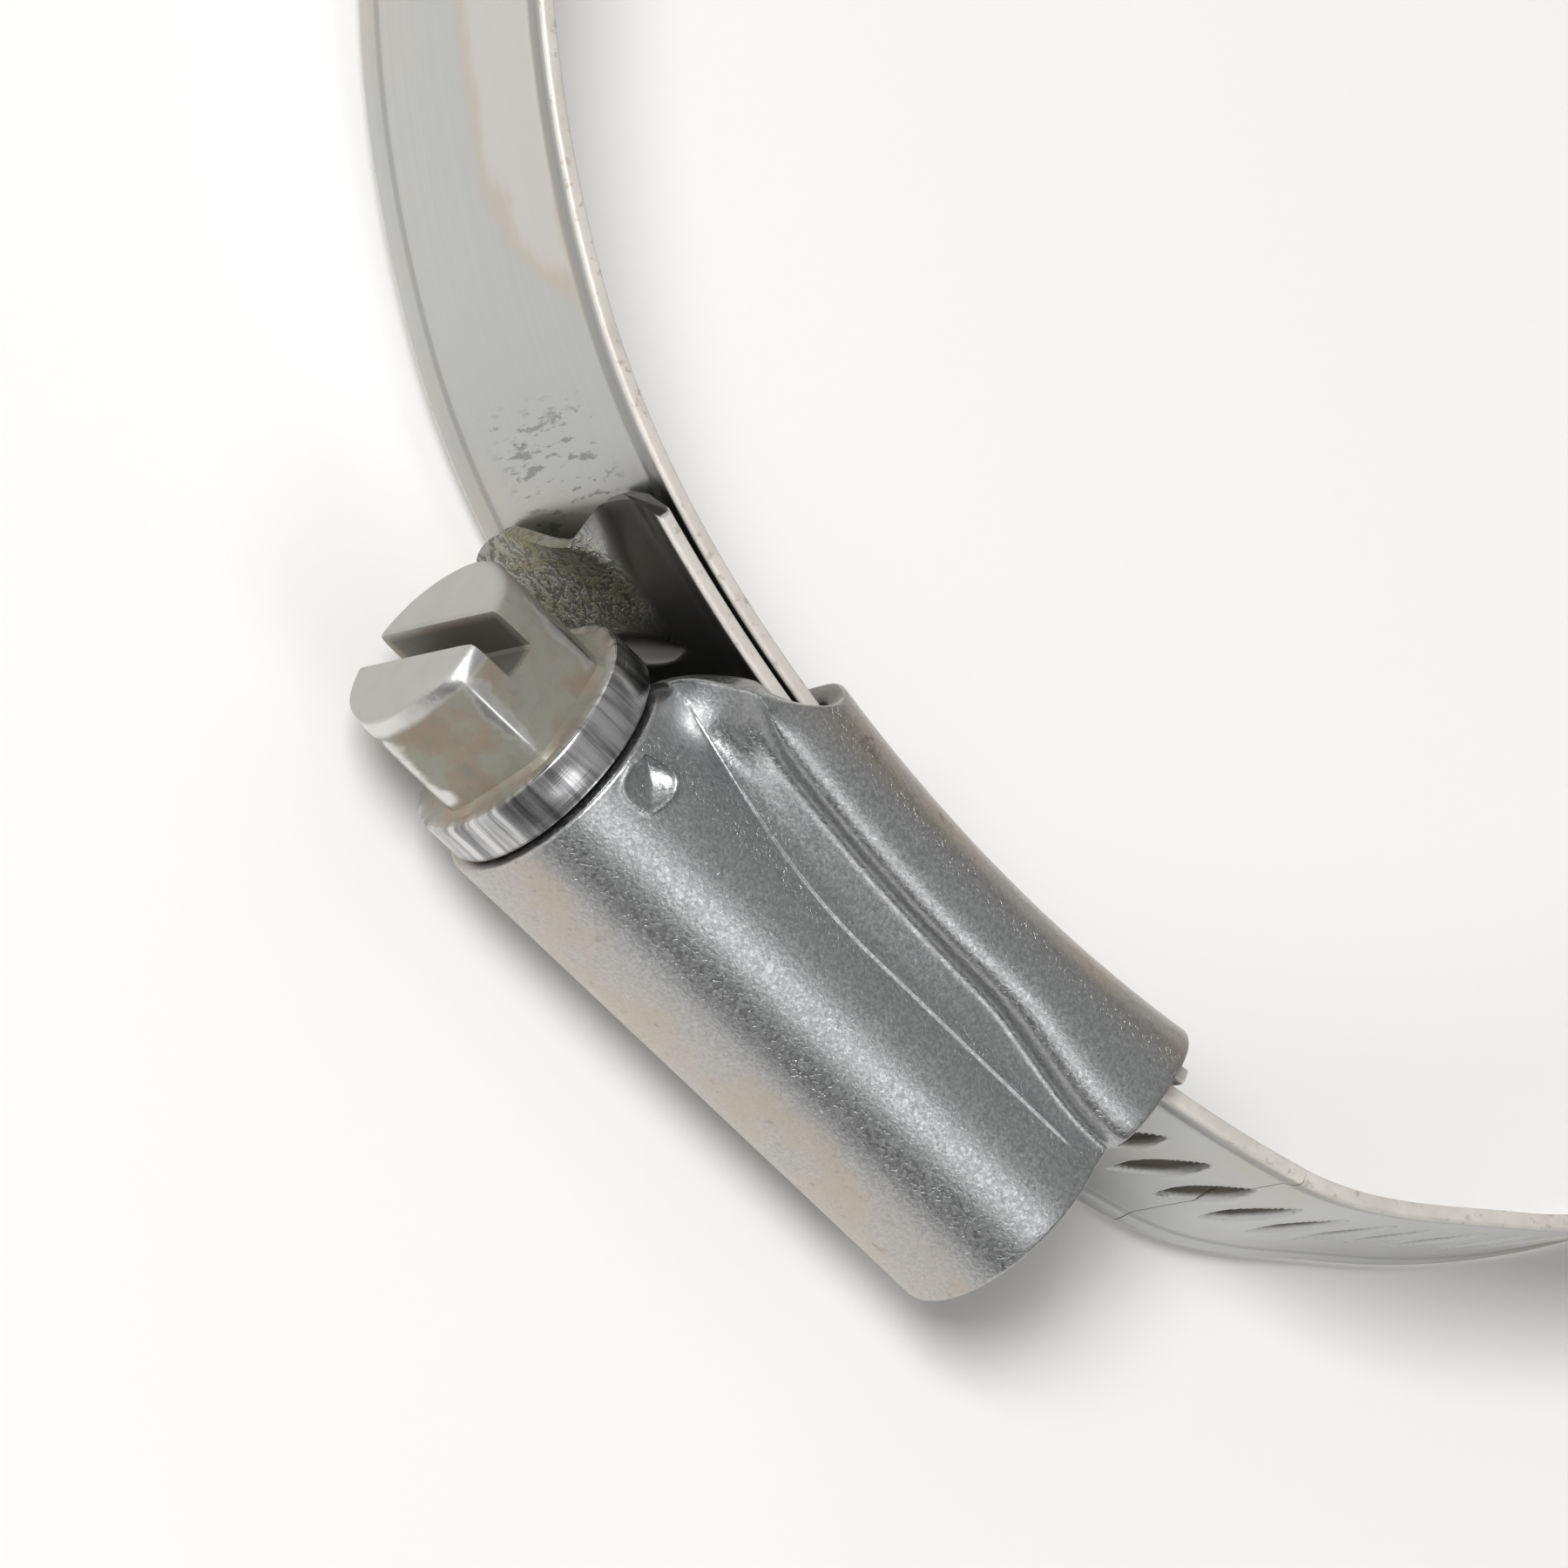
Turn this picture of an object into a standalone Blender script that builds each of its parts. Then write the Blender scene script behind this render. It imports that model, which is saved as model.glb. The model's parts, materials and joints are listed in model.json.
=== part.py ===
"""Worm-drive hose clamp: a pressed housing, a slotted hexagon screw and one steel band.

The hose axis is Z and the origin is the middle of the ring. The housing lies at -Y, and the
screw lies along X with its head at -X. Every saddle layer is an arc about one centre, so the
threaded end of the band can slide round that centre. Lengths are metres.
"""

import math

import bmesh
import bpy
import numpy as np
from mathutils import Matrix, Vector

MM = 0.001

# The band
RING_RADIUS = 35.0 * MM  # inner face of the ring
BAND_WIDTH = 9.0 * MM
BAND_THICKNESS = 0.5 * MM
LIP_RISE = 0.15 * MM  # how far the band's edges stand above its outer face
LIP_WIDTH = 0.5 * MM
LAYER_GAP = 0.2 * MM  # between two layers in the saddle
JOIN_GAP = 0.25 * MM  # between two stretches of the band

# The housing
WALL = 0.7 * MM
SADDLE_FLATTENING = 11.45 * MM  # how much larger the plate's radius is than the ring's
SADDLE_SHIFT = 0.2 * MM  # the saddle's lowest line, along X
STRAIGHTENING = 0.45 * MM  # how far the threaded layer dips inside the ring's circle
CHANNEL_HEAD_END = 8.35 * MM  # where the plate ends
HEAD_END_SLANT = 0.92  # the side walls run on towards the barrel's mouth
FAR_END = 7.0 * MM
BARREL_HEAD_END = 12.55 * MM
SIDE_CLEARANCE = 0.35 * MM
ROOF_CLEARANCE = 0.2 * MM
BARREL_CLEARANCE = 0.12 * MM  # between the worm's crests and the bore
TIP_CLEARANCE = 0.25 * MM  # round the screw's tip
MOUTH_LENGTH = 0.8 * MM  # the turned-in far end that carries the tip
PRESSED_EDGE = 0.2 * MM  # on the barrel's rims and inside the channel's corners
INNER_CORNER = 0.9 * MM
OUTER_CORNER = 1.3 * MM
OVERRUN = 3.0 * MM  # how far a cut runs past what it cuts
STAKE_LENGTH = 0.9 * MM
STAKE_WIDTH = 1.4 * MM
STAKE_DEPTH = 0.6 * MM
STAKE_OFFSET = 0.1 * MM  # from the middle of the neck
STAKE_TILT = math.radians(80)  # from the outward direction towards +Z

# The screw
WORM_RADIUS = 3.25 * MM
THREAD_PITCH = 1.8 * MM
THREAD_DEPTH = 0.55 * MM
THREAD_BITE = 0.26 * MM  # how deep the crests reach into the band
CREST_SHARE = 0.22  # of the pitch
ROOT_SHARE = 0.3
NECK_DEPTH = 0.85 * MM  # below the crests
NECK_LENGTH = 1.3 * MM
NECK_INSET = 0.35 * MM  # from the barrel's mouth
TIP_DEPTH = 1.05 * MM  # below the crests
TIP_LENGTH = 1.0 * MM
COLLAR_REACH = 0.6 * MM  # past the crests
COLLAR_LENGTH = 1.5 * MM
COLLAR_GAP = 0.2 * MM  # to the barrel's mouth
COLLAR_EDGE = 0.15 * MM
TIP_EDGE = 0.3 * MM
HEX_ACROSS_FLATS = 6.0 * MM
HEX_LENGTH = 3.9 * MM
HEX_CHAMFER = 0.5 * MM
HEX_TURN = math.radians(27)
SLOT_WIDTH = 1.2 * MM
SLOT_DEPTH = 1.65 * MM

# The grooves that the worm runs in
GROOVE_FLOOR_CLEARANCE = 0.08 * MM
GROOVE_SIDE_CLEARANCE = 0.14 * MM

# Where the band's stretches begin and end
TIGHTENING_TURNS = 3  # how far the screw can draw the threaded end in
CUT_CLEARANCE = 0.3 * MM  # left between the cut and the housing after those turns
PLAIN_STANDOFF = 1.15 * MM  # how far the plain end shows past the plate
HOOK_CLEARANCE = 0.25 * MM  # to the plate's far edge
TAIL_CLEARANCE = 1.35 * MM  # from the collar to the bend in the tail
TAIL_LIP_RADIUS = 1.05 * MM
TAIL_LIP_ANGLE = math.radians(70)
HOOK_WIDTH = 4.0 * MM
HOOK_THICKNESS = 0.45 * MM
HOOK_REACH = 0.9 * MM
HOOK_INSET = 0.02 * MM  # from the band's cut end

# Lengths of band over which the ring eases into the saddle's arcs
THREADED_EASE_LENGTH = 7.94 * MM
PLAIN_EASE_LENGTH = 12.22 * MM

# What follows from them
LAYER_PITCH = BAND_THICKNESS + LAYER_GAP
SADDLE_BEND = RING_RADIUS + SADDLE_FLATTENING  # radius of the plate's inner face
SADDLE_DEPTH = RING_RADIUS - STRAIGHTENING - WALL - LAYER_GAP - LAYER_PITCH
SADDLE_CENTRE = Vector((SADDLE_SHIFT, SADDLE_BEND - SADDLE_DEPTH, 0.0))
PLAIN_BEND = SADDLE_BEND + WALL + LAYER_GAP
THREADED_BEND = PLAIN_BEND + LAYER_PITCH
BAND_FACE = THREADED_BEND + BAND_THICKNESS
CHANNEL_ROOF = BAND_FACE + LIP_RISE + ROOF_CLEARANCE
CHANNEL_HALF = BAND_WIDTH / 2 + SIDE_CLEARANCE
AXIS_BEND = BAND_FACE - THREAD_BITE + WORM_RADIUS  # from the saddle's centre to the screw
AXIS_Y = SADDLE_CENTRE.y - AXIS_BEND
SCREW_PLACE = Vector((0.0, AXIS_Y, 0.0))
NECK_RADIUS = WORM_RADIUS - NECK_DEPTH
TIP_RADIUS = WORM_RADIUS - TIP_DEPTH
COLLAR_RADIUS = WORM_RADIUS + COLLAR_REACH
COLLAR_BACK = -BARREL_HEAD_END - COLLAR_GAP
COLLAR_FRONT = COLLAR_BACK - COLLAR_LENGTH
HEX_FRONT = COLLAR_FRONT - HEX_LENGTH
NECK_END = NECK_INSET + NECK_LENGTH - BARREL_HEAD_END
WORM_END = FAR_END - MOUTH_LENGTH - TIP_CLEARANCE
BORE_RADIUS = WORM_RADIUS + BARREL_CLEARANCE
BARREL_RADIUS = BORE_RADIUS + WALL
GROOVE_STEP = THREAD_PITCH / (BAND_FACE - THREAD_BITE / 2)  # angle from groove to groove
PLAIN_TIP = FAR_END + HOOK_CLEARANCE + HOOK_THICKNESS
PLAIN_CUT = -CHANNEL_HEAD_END - PLAIN_STANDOFF
THREADED_CUT = FAR_END + TIGHTENING_TURNS * THREAD_PITCH + CUT_CLEARANCE
TAIL_BEND = COLLAR_FRONT - TAIL_CLEARANCE
THREADED_EASE = THREADED_EASE_LENGTH / RING_RADIUS
PLAIN_EASE = PLAIN_EASE_LENGTH / RING_RADIUS


def paint(obj, colour, roughness):
    """Give the object its own steel."""
    material = bpy.data.materials.new(obj.name + "_steel")
    material.use_nodes = True
    shader = material.node_tree.nodes["Principled BSDF"]
    shader.inputs["Base Color"].default_value = (*colour, 1.0)
    shader.inputs["Metallic"].default_value = 1.0
    shader.inputs["Roughness"].default_value = roughness
    obj.data.materials.append(material)


def add_mesh(name, points, faces, place=Vector((0, 0, 0))):
    """A closed mesh with outward faces, its origin at the given place."""
    mesh = bpy.data.meshes.new(name)
    mesh.from_pydata([Vector(point) - place for point in points], [], faces)
    shape = bmesh.new()
    shape.from_mesh(mesh)
    bmesh.ops.recalc_face_normals(shape, faces=shape.faces)
    shape.to_mesh(mesh)
    shape.free()
    obj = bpy.data.objects.new(name, mesh)
    obj.location = place
    bpy.context.scene.collection.objects.link(obj)
    return obj


def shade(obj):
    obj.data.shade_smooth()
    obj.data.set_sharp_from_angle(angle=math.radians(35))


def loft(rings):
    """Points and faces of a solid whose sections are the rings, one after another."""
    count = len(rings[0])
    points = [point for ring in rings for point in ring]
    faces = []
    for row in range(len(rings) - 1):
        for side in range(count):
            after = (side + 1) % count
            low, high = row * count, (row + 1) * count
            faces.append((low + side, low + after, high + after, high + side))
    last = (len(rings) - 1) * count
    faces.append(tuple(reversed(range(count))))
    faces.append(tuple(range(last, last + count)))
    return points, faces


def combine(target, tool, operation):
    """A live Boolean whose tool is left out of the render."""
    modifier = target.modifiers.new(tool.name, "BOOLEAN")
    modifier.operation = operation
    modifier.object = tool
    tool.hide_render = True
    tool.display_type = "WIRE"
    tool.parent = target
    tool.matrix_parent_inverse = target.matrix_basis.inverted()


def saddle_point(bend, x, z):
    """The point at x on the saddle's arc of this radius."""
    drop = math.sqrt(bend**2 - (x - SADDLE_CENTRE.x) ** 2)
    return Vector((x, SADDLE_CENTRE.y - drop, z))


def saddle_angle(bend, x):
    """The direction from the saddle's centre to the arc's point at x."""
    return math.atan2(saddle_point(bend, x, 0).y - SADDLE_CENTRE.y, x - SADDLE_CENTRE.x)


def saddle_block(name, start, end, outline, steps=14, slant=0.0):
    """The outline, as (radius, z) pairs, carried along X over the saddle's arcs.

    A slant leans the starting face, so that it lies further back at a larger radius.
    """
    rings = []
    for share in np.linspace(0, 1, steps):
        ring = []
        for bend, z in outline:
            first = start - slant * (bend - SADDLE_BEND)
            ring.append(saddle_point(bend, first + (end - first) * share, z))
        rings.append(ring)
    return add_mesh(name, *loft(rings))


def rounded_outline(low, high, half, low_corner, high_corner, steps=4):
    """A rectangle from low to high radius and -half to half in Z, its corners rounded."""
    corners = [
        (high - high_corner, half - high_corner, high_corner, 0),
        (low + low_corner, half - low_corner, low_corner, 1),
        (low + low_corner, low_corner - half, low_corner, 2),
        (high - high_corner, high_corner - half, high_corner, 3),
    ]
    outline = []
    for bend, z, corner, quarter in corners:
        for step in range(steps + 1):
            turn = (quarter + step / steps) * math.pi / 2
            outline.append((bend + corner * math.cos(turn), z + corner * math.sin(turn)))
    return outline


def band_section():
    """Half-round edges turned outwards, as (height, z) pairs from the inner face."""
    half = BAND_WIDTH / 2
    top = BAND_THICKNESS + LIP_RISE
    edge = [
        (0.0, half - LIP_WIDTH - LIP_RISE),
        (LIP_RISE * 0.35, half - LIP_WIDTH * 0.4),
        (LIP_RISE + BAND_THICKNESS * 0.2, half),
        (top, half),
        (top, half - LIP_WIDTH * 0.6),
        (BAND_THICKNESS, half - LIP_WIDTH - LIP_RISE),
    ]
    return edge + [(height, -z) for height, z in reversed(edge)]


def sweep_band(name, path, place=Vector((0, 0, 0))):
    """Carry the band's section along a path of (point, outward normal) pairs."""
    rings = []
    for point, normal in path:
        rings.append([point + normal * height + Vector((0, 0, z)) for height, z in band_section()])
    return add_mesh(name, *loft(rings), place=place)


def arc_path(bend, start, end, steps):
    """Along the saddle's arc of this radius, between two directions."""
    path = []
    for turn in np.linspace(start, end, steps):
        normal = Vector((math.cos(turn), math.sin(turn), 0))
        path.append((SADDLE_CENTRE + normal * bend, normal))
    return path


def ease_in(angle, begin, finish, height, slope):
    """A cubic that leaves the given height and slope at begin and is level at finish."""
    t = (angle - begin) / (finish - begin)
    rise = slope * (finish - begin)
    return height * (2 * t**3 - 3 * t**2 + 1) + rise * (t**3 - 2 * t**2 + t)


def polar_start(bend, turn):
    """Angle about the ring, height over its circle and slope, on an arc of the saddle."""
    normal = Vector((math.cos(turn), math.sin(turn), 0))
    point = SADDLE_CENTRE + normal * bend
    angle = math.atan2(point.y, point.x)
    return angle, point.length - RING_RADIUS, point.length * math.tan(angle - turn)


def ring_path(start_turn, end_turn, steps=76):
    """The free ring, from the threaded layer's arc round to the plain layer's arc."""
    first, first_height, first_slope = polar_start(THREADED_BEND, start_turn)
    last, last_height, last_slope = polar_start(PLAIN_BEND, end_turn)
    last += 2 * math.pi

    def place(angle):
        height = 0.0
        if angle < first + THREADED_EASE:
            height = ease_in(angle, first, first + THREADED_EASE, first_height, first_slope)
        if angle > last - PLAIN_EASE:
            height = ease_in(angle, last, last - PLAIN_EASE, last_height, last_slope)
        return Vector((math.cos(angle), math.sin(angle), 0)) * (RING_RADIUS + height)

    path = []
    nudge = math.radians(0.01)
    for angle in np.linspace(first, last, steps):
        along = place(angle + nudge) - place(angle - nudge)
        path.append((place(angle), Vector((along.y, -along.x, 0)).normalized()))
    return path


def tail_path(start_turn, steps=22):
    """The threaded layer from its cut to the tail, whose end is bent outwards."""
    bend_turn = saddle_angle(THREADED_BEND, TAIL_BEND)
    path = arc_path(THREADED_BEND, start_turn, bend_turn, steps)
    point, normal = path[-1]
    centre = point + normal * TAIL_LIP_RADIUS
    for turn in np.linspace(0, TAIL_LIP_ANGLE, 7)[1:]:
        turned = Matrix.Rotation(turn, 3, "Z") @ normal
        path.append((centre - turned * TAIL_LIP_RADIUS, turned))
    return path


def groove_cutter(name, angles):
    """One lens for each groove: a slice of the worm's crest with clearance all round."""
    stations = np.linspace(-1, 1, 9)
    reach = WORM_RADIUS + GROOVE_FLOOR_CLEARANCE
    face_distance = AXIS_BEND - BAND_FACE
    half_length = math.sqrt(reach**2 - face_distance**2)
    lead = THREAD_PITCH / (2 * math.pi * (WORM_RADIUS - THREAD_BITE / 2))
    crest = CREST_SHARE * THREAD_PITCH / 2 + GROOVE_SIDE_CLEARANCE
    flank = (1 - CREST_SHARE - ROOT_SHARE) / 2 * THREAD_PITCH / THREAD_DEPTH
    above = LIP_RISE
    points, faces = [], []
    for angle in angles:
        outward = Vector((math.cos(angle), math.sin(angle), 0))
        along = Vector((-outward.y, outward.x, 0))
        rings = []
        for share in stations:
            z = share * half_length * 0.999
            depth = math.sqrt(reach**2 - z**2) - face_distance
            floor = SADDLE_CENTRE + outward * (BAND_FACE - depth) + along * z * lead
            wide = crest + (depth + above) * flank
            top = outward * (depth + above)
            up = Vector((0, 0, z))
            ring = [floor - along * crest, floor + along * crest]
            ring += [floor + along * wide + top, floor - along * wide + top]
            rings.append([point + up for point in ring])
        more_points, more_faces = loft(rings)
        base = len(points)
        points += more_points
        faces += [tuple(base + corner for corner in face) for face in more_faces]
    return add_mesh(name, points, faces)


def screw_ring(x, radius_at, segments):
    """Points round the screw's axis at x, where the radius may change with the turn."""
    ring = []
    for side in range(segments):
        turn = 2 * math.pi * side / segments
        radius = radius_at(turn)
        ring.append(Vector((x, AXIS_Y + radius * math.cos(turn), radius * math.sin(turn))))
    return ring


def turned_rings(outline, segments):
    """Round sections about the screw's axis, from (x, radius) pairs."""
    return [screw_ring(x, lambda turn, r=radius: r, segments) for x, radius in outline]


def turned(name, outline, segments=40):
    """A solid of revolution about the screw's axis."""
    return add_mesh(name, *loft(turned_rings(outline, segments)), place=SCREW_PLACE)


def thread_height(phase):
    """Height over the root at a share of the pitch measured from the crest's middle."""
    away = abs((phase + 0.5) % 1.0 - 0.5)
    flank = (1 - CREST_SHARE - ROOT_SHARE) / 2
    return THREAD_DEPTH * min(1.0, max(0.0, (CREST_SHARE / 2 + flank - away) / flank))


def worm_rings(segments):
    """Sections of the thread, eleven to each pitch, which fades out over a pitch at both ends."""
    root = WORM_RADIUS - THREAD_DEPTH
    count = round((WORM_END - NECK_END) / THREAD_PITCH * 11)
    rings = []
    for x in np.linspace(NECK_END, WORM_END, count):
        fade = min(1.0, (x - NECK_END) / THREAD_PITCH, (WORM_END - x) / THREAD_PITCH)

        def radius_at(turn, x=x, fade=fade):
            phase = (x - SADDLE_CENTRE.x) / THREAD_PITCH - turn / (2 * math.pi)
            return root + thread_height(phase) * fade

        rings.append(screw_ring(x, radius_at, segments))
    return rings


def make_shank():
    """Neck, worm and tip, reaching into the collar."""
    segments = 28
    neck = [((COLLAR_BACK + COLLAR_FRONT) / 2, NECK_RADIUS), (NECK_END - TIP_EDGE, NECK_RADIUS)]
    tip = [
        (WORM_END + TIP_EDGE / 2, TIP_RADIUS),
        (WORM_END + TIP_LENGTH - TIP_EDGE, TIP_RADIUS),
        (WORM_END + TIP_LENGTH, TIP_RADIUS - TIP_EDGE),
    ]
    rings = turned_rings(neck, segments) + worm_rings(segments) + turned_rings(tip, segments)
    return add_mesh("screw", *loft(rings), place=SCREW_PLACE)


def make_collar():
    return turned(
        "collar_tool",
        [
            (COLLAR_FRONT - COLLAR_EDGE, COLLAR_RADIUS - 2 * COLLAR_EDGE),
            (COLLAR_FRONT, COLLAR_RADIUS - COLLAR_EDGE),
            (COLLAR_FRONT + COLLAR_EDGE, COLLAR_RADIUS),
            (COLLAR_BACK - COLLAR_EDGE, COLLAR_RADIUS),
            (COLLAR_BACK, COLLAR_RADIUS - COLLAR_EDGE),
        ],
    )


def make_hexagon():
    """The hexagon with its outer end chamfered; one flat faces HEX_TURN from -Y towards +Z."""
    corner = HEX_ACROSS_FLATS / math.sqrt(3)
    rings = []
    for x, radius in (
        (COLLAR_FRONT + COLLAR_EDGE, corner),
        (HEX_FRONT + HEX_CHAMFER, corner),
        (HEX_FRONT, corner - HEX_CHAMFER),
    ):
        ring = []
        for side in range(6):
            turn = HEX_TURN + math.pi / 6 + side * math.pi / 3
            ring.append(Vector((x, AXIS_Y - radius * math.cos(turn), radius * math.sin(turn))))
        rings.append(ring)
    return add_mesh("hexagon_tool", *loft(rings), place=SCREW_PLACE)


def make_slot():
    """The driver slot, which runs out through the middles of two flats."""
    turn = HEX_TURN + math.pi / 3
    run = Vector((0, -math.cos(turn), math.sin(turn))) * HEX_ACROSS_FLATS
    side = Vector((0, math.sin(turn), math.cos(turn))) * SLOT_WIDTH / 2
    rings = []
    for x in (HEX_FRONT - HEX_CHAMFER, HEX_FRONT + SLOT_DEPTH):
        middle = Vector((x, AXIS_Y, 0))
        rings.append([middle + run + side, middle - run + side,
                      middle - run - side, middle + run - side])
    return add_mesh("slot_tool", *loft(rings), place=SCREW_PLACE)


def make_screw():
    """Worm, neck, collar and hexagon in one piece, turning about its own X axis."""
    screw = make_shank()
    combine(screw, make_collar(), "UNION")
    combine(screw, make_hexagon(), "UNION")
    combine(screw, make_slot(), "DIFFERENCE")
    paint(screw, (0.55, 0.50, 0.43), 0.38)
    return screw


def make_barrel():
    return turned(
        "barrel_tool",
        [
            (-BARREL_HEAD_END, BARREL_RADIUS - PRESSED_EDGE),
            (PRESSED_EDGE - BARREL_HEAD_END, BARREL_RADIUS),
            (FAR_END - 2 * PRESSED_EDGE, BARREL_RADIUS),
            (FAR_END - PRESSED_EDGE / 4, BARREL_RADIUS - 2 * PRESSED_EDGE),
        ],
        segments=48,
    )


def make_channel_space():
    """The room for the two band layers, running out past both ends of the housing."""
    inside = [
        (PLAIN_BEND - LAYER_GAP, CHANNEL_HALF - PRESSED_EDGE),
        (PLAIN_BEND, CHANNEL_HALF),
        (CHANNEL_ROOF - PRESSED_EDGE, CHANNEL_HALF),
        (CHANNEL_ROOF, CHANNEL_HALF - PRESSED_EDGE),
    ]
    inside += [(bend, -z) for bend, z in reversed(inside)]
    return saddle_block(
        "channel_tool", -BARREL_HEAD_END - OVERRUN, FAR_END + OVERRUN, inside, steps=20
    )


def make_bore():
    """The screw's room: wide round the worm, and narrow round the tip."""
    mouth = FAR_END - MOUTH_LENGTH
    step = PRESSED_EDGE / 20
    return turned(
        "bore_tool",
        [
            (-BARREL_HEAD_END - OVERRUN, BORE_RADIUS),
            (mouth, BORE_RADIUS),
            (mouth + step, TIP_RADIUS + TIP_CLEARANCE),
            (FAR_END + OVERRUN, TIP_RADIUS + TIP_CLEARANCE),
        ],
        segments=36,
    )


def make_housing():
    """The channel round both band ends and the barrel over it, pressed in one piece."""
    outline = rounded_outline(
        SADDLE_BEND, CHANNEL_ROOF + WALL, CHANNEL_HALF + WALL, INNER_CORNER, OUTER_CORNER
    )
    housing = saddle_block(
        "housing", -CHANNEL_HEAD_END, FAR_END, outline, steps=16, slant=HEAD_END_SLANT
    )
    combine(housing, make_barrel(), "UNION")
    combine(housing, make_channel_space(), "DIFFERENCE")
    combine(housing, make_bore(), "DIFFERENCE")
    combine(housing, make_stake(), "UNION")
    paint(housing, (0.50, 0.49, 0.47), 0.33)
    return housing


def make_stake():
    """The punched dent that reaches into the screw's neck and keeps the screw in."""
    outward = Vector((0, -math.cos(STAKE_TILT), math.sin(STAKE_TILT)))
    sideways = Vector((0, outward.z, -outward.y))
    middle = Vector((NECK_END - NECK_LENGTH / 2 - STAKE_OFFSET, AXIS_Y, 0))
    rings = []
    for radius, share in ((BORE_RADIUS + WALL / 2, 1.0), (BORE_RADIUS - STAKE_DEPTH, 0.35)):
        long = Vector((STAKE_LENGTH / 2 * share, 0, 0))
        wide = sideways * STAKE_WIDTH / 2 * share
        place = middle + outward * radius
        rings.append([place + long + wide, place - long + wide,
                      place - long - wide, place + long - wide])
    return add_mesh("stake_tool", *loft(rings))


def make_plain_end():
    """The band's plain end, under the threaded layer, hooked behind the plate's edge."""
    start = saddle_angle(PLAIN_BEND, PLAIN_CUT)
    end = saddle_angle(PLAIN_BEND, PLAIN_TIP)
    plain = sweep_band("band_plain_end", arc_path(PLAIN_BEND, start, end, 16))
    near, far = PLAIN_TIP - HOOK_THICKNESS, PLAIN_TIP - HOOK_INSET
    outline = [
        (PLAIN_BEND + BAND_THICKNESS / 2, HOOK_WIDTH / 2),
        (PLAIN_BEND - HOOK_REACH, HOOK_WIDTH / 2),
        (PLAIN_BEND - HOOK_REACH, -HOOK_WIDTH / 2),
        (PLAIN_BEND + BAND_THICKNESS / 2, -HOOK_WIDTH / 2),
    ]
    combine(plain, saddle_block("hook_tool", near, far, outline, steps=2), "UNION")
    paint(plain, (0.56, 0.56, 0.55), 0.28)
    return plain


def make_threaded_end():
    """The grooved end of the band, turning about the saddle's centre."""
    start = saddle_angle(THREADED_BEND, THREADED_CUT)
    threaded = sweep_band("band_threaded_end", tail_path(start), SADDLE_CENTRE)
    middle = -math.pi / 2
    first = math.ceil((saddle_angle(THREADED_BEND, TAIL_BEND) - middle) / GROOVE_STEP) + 1
    last = math.floor((start - middle) / GROOVE_STEP)
    angles = [middle + GROOVE_STEP * index for index in range(first, last)]
    combine(threaded, groove_cutter("groove_tool", angles), "DIFFERENCE")
    paint(threaded, (0.56, 0.55, 0.53), 0.3)
    return threaded


def make_loop():
    """The free ring between the two ends."""
    gap = JOIN_GAP / THREADED_BEND
    start = saddle_angle(THREADED_BEND, THREADED_CUT) + gap
    end = saddle_angle(PLAIN_BEND, PLAIN_CUT) - gap
    loop = sweep_band("band_loop", ring_path(start, end))
    paint(loop, (0.56, 0.56, 0.55), 0.28)
    return loop


def main():
    for obj in list(bpy.data.objects):
        bpy.data.objects.remove(obj)
    for obj in (make_housing(), make_screw(), make_plain_end(), make_threaded_end(), make_loop()):
        shade(obj)


main()
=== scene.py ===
# %% [markdown]
# # A worm-drive hose clamp
#
# A hose clamp is three pieces of steel. One strip goes round the hose, a pressed housing
# holds both of its ends, and a screw with a worm thread draws one end past the other.
# The frame holds the plain solids, their joints and their sizes. This notebook makes the
# surfaces that show: the rolled strip, the pressed housing and the turned screw.

# %% The frame
import json
import math

import bpy
import numpy as np
from mathutils import Matrix, Vector


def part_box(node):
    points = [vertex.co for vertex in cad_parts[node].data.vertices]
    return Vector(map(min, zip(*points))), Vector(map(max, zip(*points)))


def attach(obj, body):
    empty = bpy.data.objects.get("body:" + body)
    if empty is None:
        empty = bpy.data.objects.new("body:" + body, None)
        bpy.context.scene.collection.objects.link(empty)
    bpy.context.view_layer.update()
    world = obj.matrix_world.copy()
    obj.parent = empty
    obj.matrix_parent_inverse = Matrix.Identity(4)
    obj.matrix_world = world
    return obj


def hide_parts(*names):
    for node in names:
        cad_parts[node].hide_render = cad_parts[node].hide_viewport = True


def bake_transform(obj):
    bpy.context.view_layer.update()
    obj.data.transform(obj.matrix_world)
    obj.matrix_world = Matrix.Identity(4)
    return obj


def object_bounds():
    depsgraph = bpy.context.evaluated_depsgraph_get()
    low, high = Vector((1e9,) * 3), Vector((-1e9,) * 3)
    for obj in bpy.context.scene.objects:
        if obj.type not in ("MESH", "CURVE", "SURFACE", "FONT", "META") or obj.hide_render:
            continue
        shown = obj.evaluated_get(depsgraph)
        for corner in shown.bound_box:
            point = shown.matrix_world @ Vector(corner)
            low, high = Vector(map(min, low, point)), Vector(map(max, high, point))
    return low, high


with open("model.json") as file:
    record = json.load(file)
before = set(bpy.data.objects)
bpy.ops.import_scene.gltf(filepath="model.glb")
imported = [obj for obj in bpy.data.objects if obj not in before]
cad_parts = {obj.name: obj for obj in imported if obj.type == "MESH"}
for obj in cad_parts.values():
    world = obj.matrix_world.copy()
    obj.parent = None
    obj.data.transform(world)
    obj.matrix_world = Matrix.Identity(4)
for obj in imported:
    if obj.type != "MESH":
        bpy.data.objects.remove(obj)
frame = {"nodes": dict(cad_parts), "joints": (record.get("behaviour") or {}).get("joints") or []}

cad_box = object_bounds()
joints = {joint["name"]: joint for joint in frame["joints"]}
print("nodes:", sorted(frame["nodes"]))

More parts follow.
